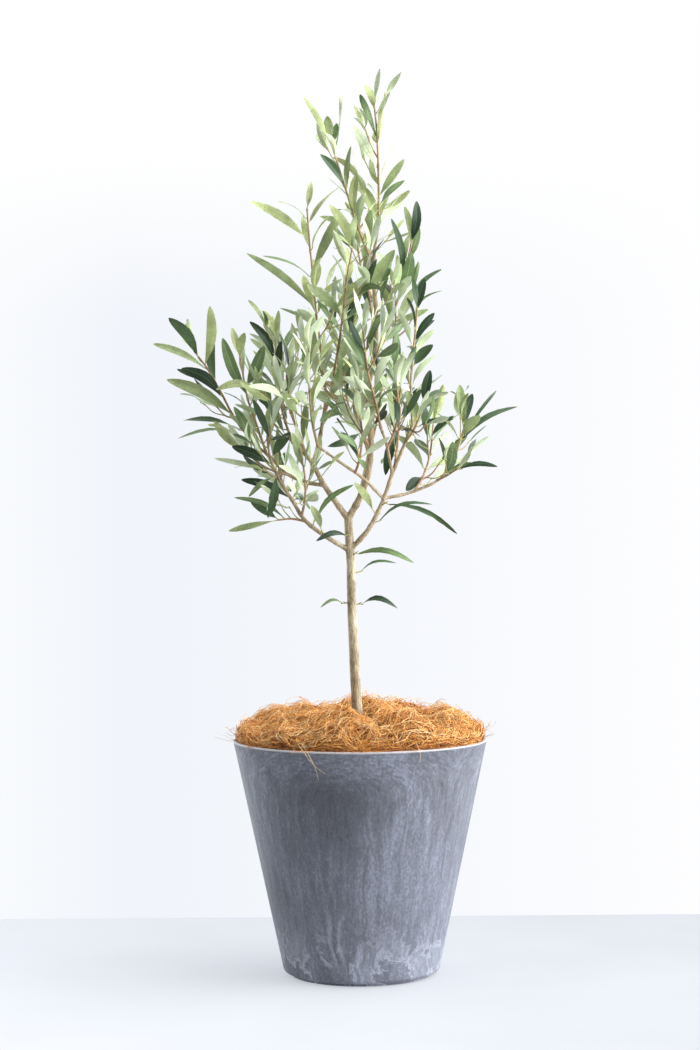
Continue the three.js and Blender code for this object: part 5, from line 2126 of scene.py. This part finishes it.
@dataclass
class Studio:
    """A pale floor, soft daylight from the right and behind, and the camera."""

    camera_place: Point = (-8.6, -2729, 534)
    lens: float = 88
    tilt: float = 1.18
    roll: float = 0.42
    floor_size: float = 8
    wall_line: float = 345
    fade: tuple[float, float] = (0.9, 1.8)
    floor_tints: tuple[Colour, Colour] = (tone(120, 120, 121), tone(128, 128, 129))
    # The floor glows as painted light. The glow is dimmer towards the wall's line and towards the
    # right, as painted shade.
    floor_glows: tuple[Colour, Colour] = (tone(209, 212, 221), tone(236, 240, 249))
    floor_clouds: Grain = Grain(2.5, 3)
    floor_glow_strength: float = 0.615
    floor_shade: float = 0.23
    floor_shaded: tuple[float, float] = (-0.4, 0.4)
    floor_lit_depth: float = -0.1
    # Tone of the white wall that the camera sees: a little darker left of the middle as painted shade,
    # and white to the right and at the top as painted light.
    wall: tuple[tuple[float, Colour], ...] = (
        (0, tone(248, 250, 253)), (0.18, tone(241, 244, 250)), (0.36, tone(243, 246, 251)),
        (0.66, tone(247, 249, 253)), (1, tone(254, 254, 255)),
    )
    wall_span: float = 0.134
    wall_top: tuple[float, float] = (0.05, 0.13)
    ambient: float = 0.22
    sky: Colour = tone(246, 250, 255)
    glows: tuple[Glow, ...] = (
        Glow((1, 0.02, 0.22), 0.2, 4.3),
        Glow((-0.9, 0.75, 0.2), 0.5, 2.5),
        Glow((0.1, 0.3, 1), 0.1, 0.8),
    )
    lamps: tuple[Lamp, ...] = (
        Lamp("window", (2.3, -0.75, 1.35), (0, 0, 0.5), 2.2, 50, (1.0, 0.98, 0.96)),
        Lamp("front_fill", (0.6, -2.4, 2.4), (0, 0, 0.6), 2.2, 6, (0.98, 0.99, 1.0)),
    )

    def floor(self) -> None:
        """Lays the floor up to the wall's line. It fades into the daylight far from the planter."""
        deselect_all()
        line = self.wall_line * MM
        bpy.ops.mesh.primitive_plane_add(
            size=self.floor_size, location=(0, line - self.floor_size / 2, 0)
        )
        floor = bpy.context.object
        floor.name = "studio_floor"
        bpy.ops.object.transform_apply(location=True)
        graph = Surface("studio_floor")
        across, depth, _ = graph.split()
        tint = graph.ramp(graph.grain(self.floor_clouds), *zip((0.35, 0.65), self.floor_tints))
        # Painted light: the floor glows. Towards the wall's line, and by the shade share towards the
        # right, it is dimmer as painted shade.
        near = graph.range(depth, line, self.floor_lit_depth)
        glow = graph.ramp(near, *enumerate(self.floor_glows))
        shade = graph.range(across, *self.floor_shaded) * self.floor_shade
        floor.data.materials.append(graph.finish(
            Base_Color=tint, Roughness=0.9, Specular_IOR_Level=0.2,
            Emission_Color=graph.mix(shade, glow, BLACK), Emission_Strength=self.floor_glow_strength,
        ))
        away = graph.value("VectorMath", "Value", {0: graph.place}, operation="LENGTH")
        near, clear = Value(graph, graph.shader.outputs[0]), graph.value("BsdfTransparent", 0)
        both = graph.value("MixShader", 0, {0: graph.range(away, *self.fade), 1: near, 2: clear})
        graph.feed(graph.output.inputs["Surface"], both)

    def daylight(self) -> None:
        """Lights the room: white where the camera looks, brighter behind than in front."""
        world = bpy.data.worlds.new("daylight")
        bpy.context.scene.world = world
        world.use_nodes = True
        graph = Graph(world.node_tree, "Generated")
        across, _, up = graph.split()
        # The wall's tone is painted shade and light: darker left of the middle, white to the right and
        # at the top.
        wall = graph.ramp(graph.range(across, -self.wall_span, self.wall_span), *self.wall)
        above = graph.range(up, *self.wall_top, interpolation_type=SMOOTH)
        seen = graph.value("Background", 0, {"Color": graph.mix(above, wall, WHITE)})
        strength: float | Value = self.ambient
        for glow in self.glows:
            inputs = {0: graph.place, 1: Vector(glow.towards).normalized()}
            facing = graph.value("VectorMath", "Value", inputs, operation="DOT_PRODUCT")
            span = {"Value": facing, "From Min": glow.start, "To Max": glow.strength}
            part = graph.value("MapRange", "Result", span, interpolation_type=SMOOTH)
            strength = part + strength
        lit = graph.value("Background", 0, {"Color": self.sky, "Strength": strength})
        ray = graph.value("LightPath", "Is Camera Ray")
        both = graph.value("MixShader", 0, {0: ray, 1: lit, 2: seen})
        graph.node("OutputWorld", {"Surface": both})

    def camera(self) -> None:
        """Sets up the camera, a little tilted down and rolled."""
        place = tuple(value * MM for value in self.camera_place)
        bpy.ops.object.camera_add(location=place)
        camera = bpy.context.object
        camera.name = "camera"
        camera.rotation_euler = (math.radians(90 - self.tilt), math.radians(self.roll), 0)
        camera.data.lens = self.lens
        camera.data.sensor_width = 36
        camera.data.clip_end = 200
        bpy.context.scene.camera = camera

    def build(self) -> None:
        """Sets up floor, light and camera."""
        bpy.context.scene.view_settings.view_transform = "Standard"
        self.floor()
        self.daylight()
        for lamp in self.lamps:
            lamp.build()
        self.camera()
        log.info("studio: floor, daylight, %d lamps and camera", len(self.lamps))


def main() -> None:
    """Builds the studio, the planter and the tree."""
    logging.basicConfig(level=logging.INFO, format="%(message)s")
    noise.seed_set(NOISE_SEED)
    Studio().build()
    Planter().build()
    Ground().build()
    Coir().build()
    tree = Tree()
    Wood(tree).build()
    Foliage(tree).build()


if __name__ == "__main__":
    main()
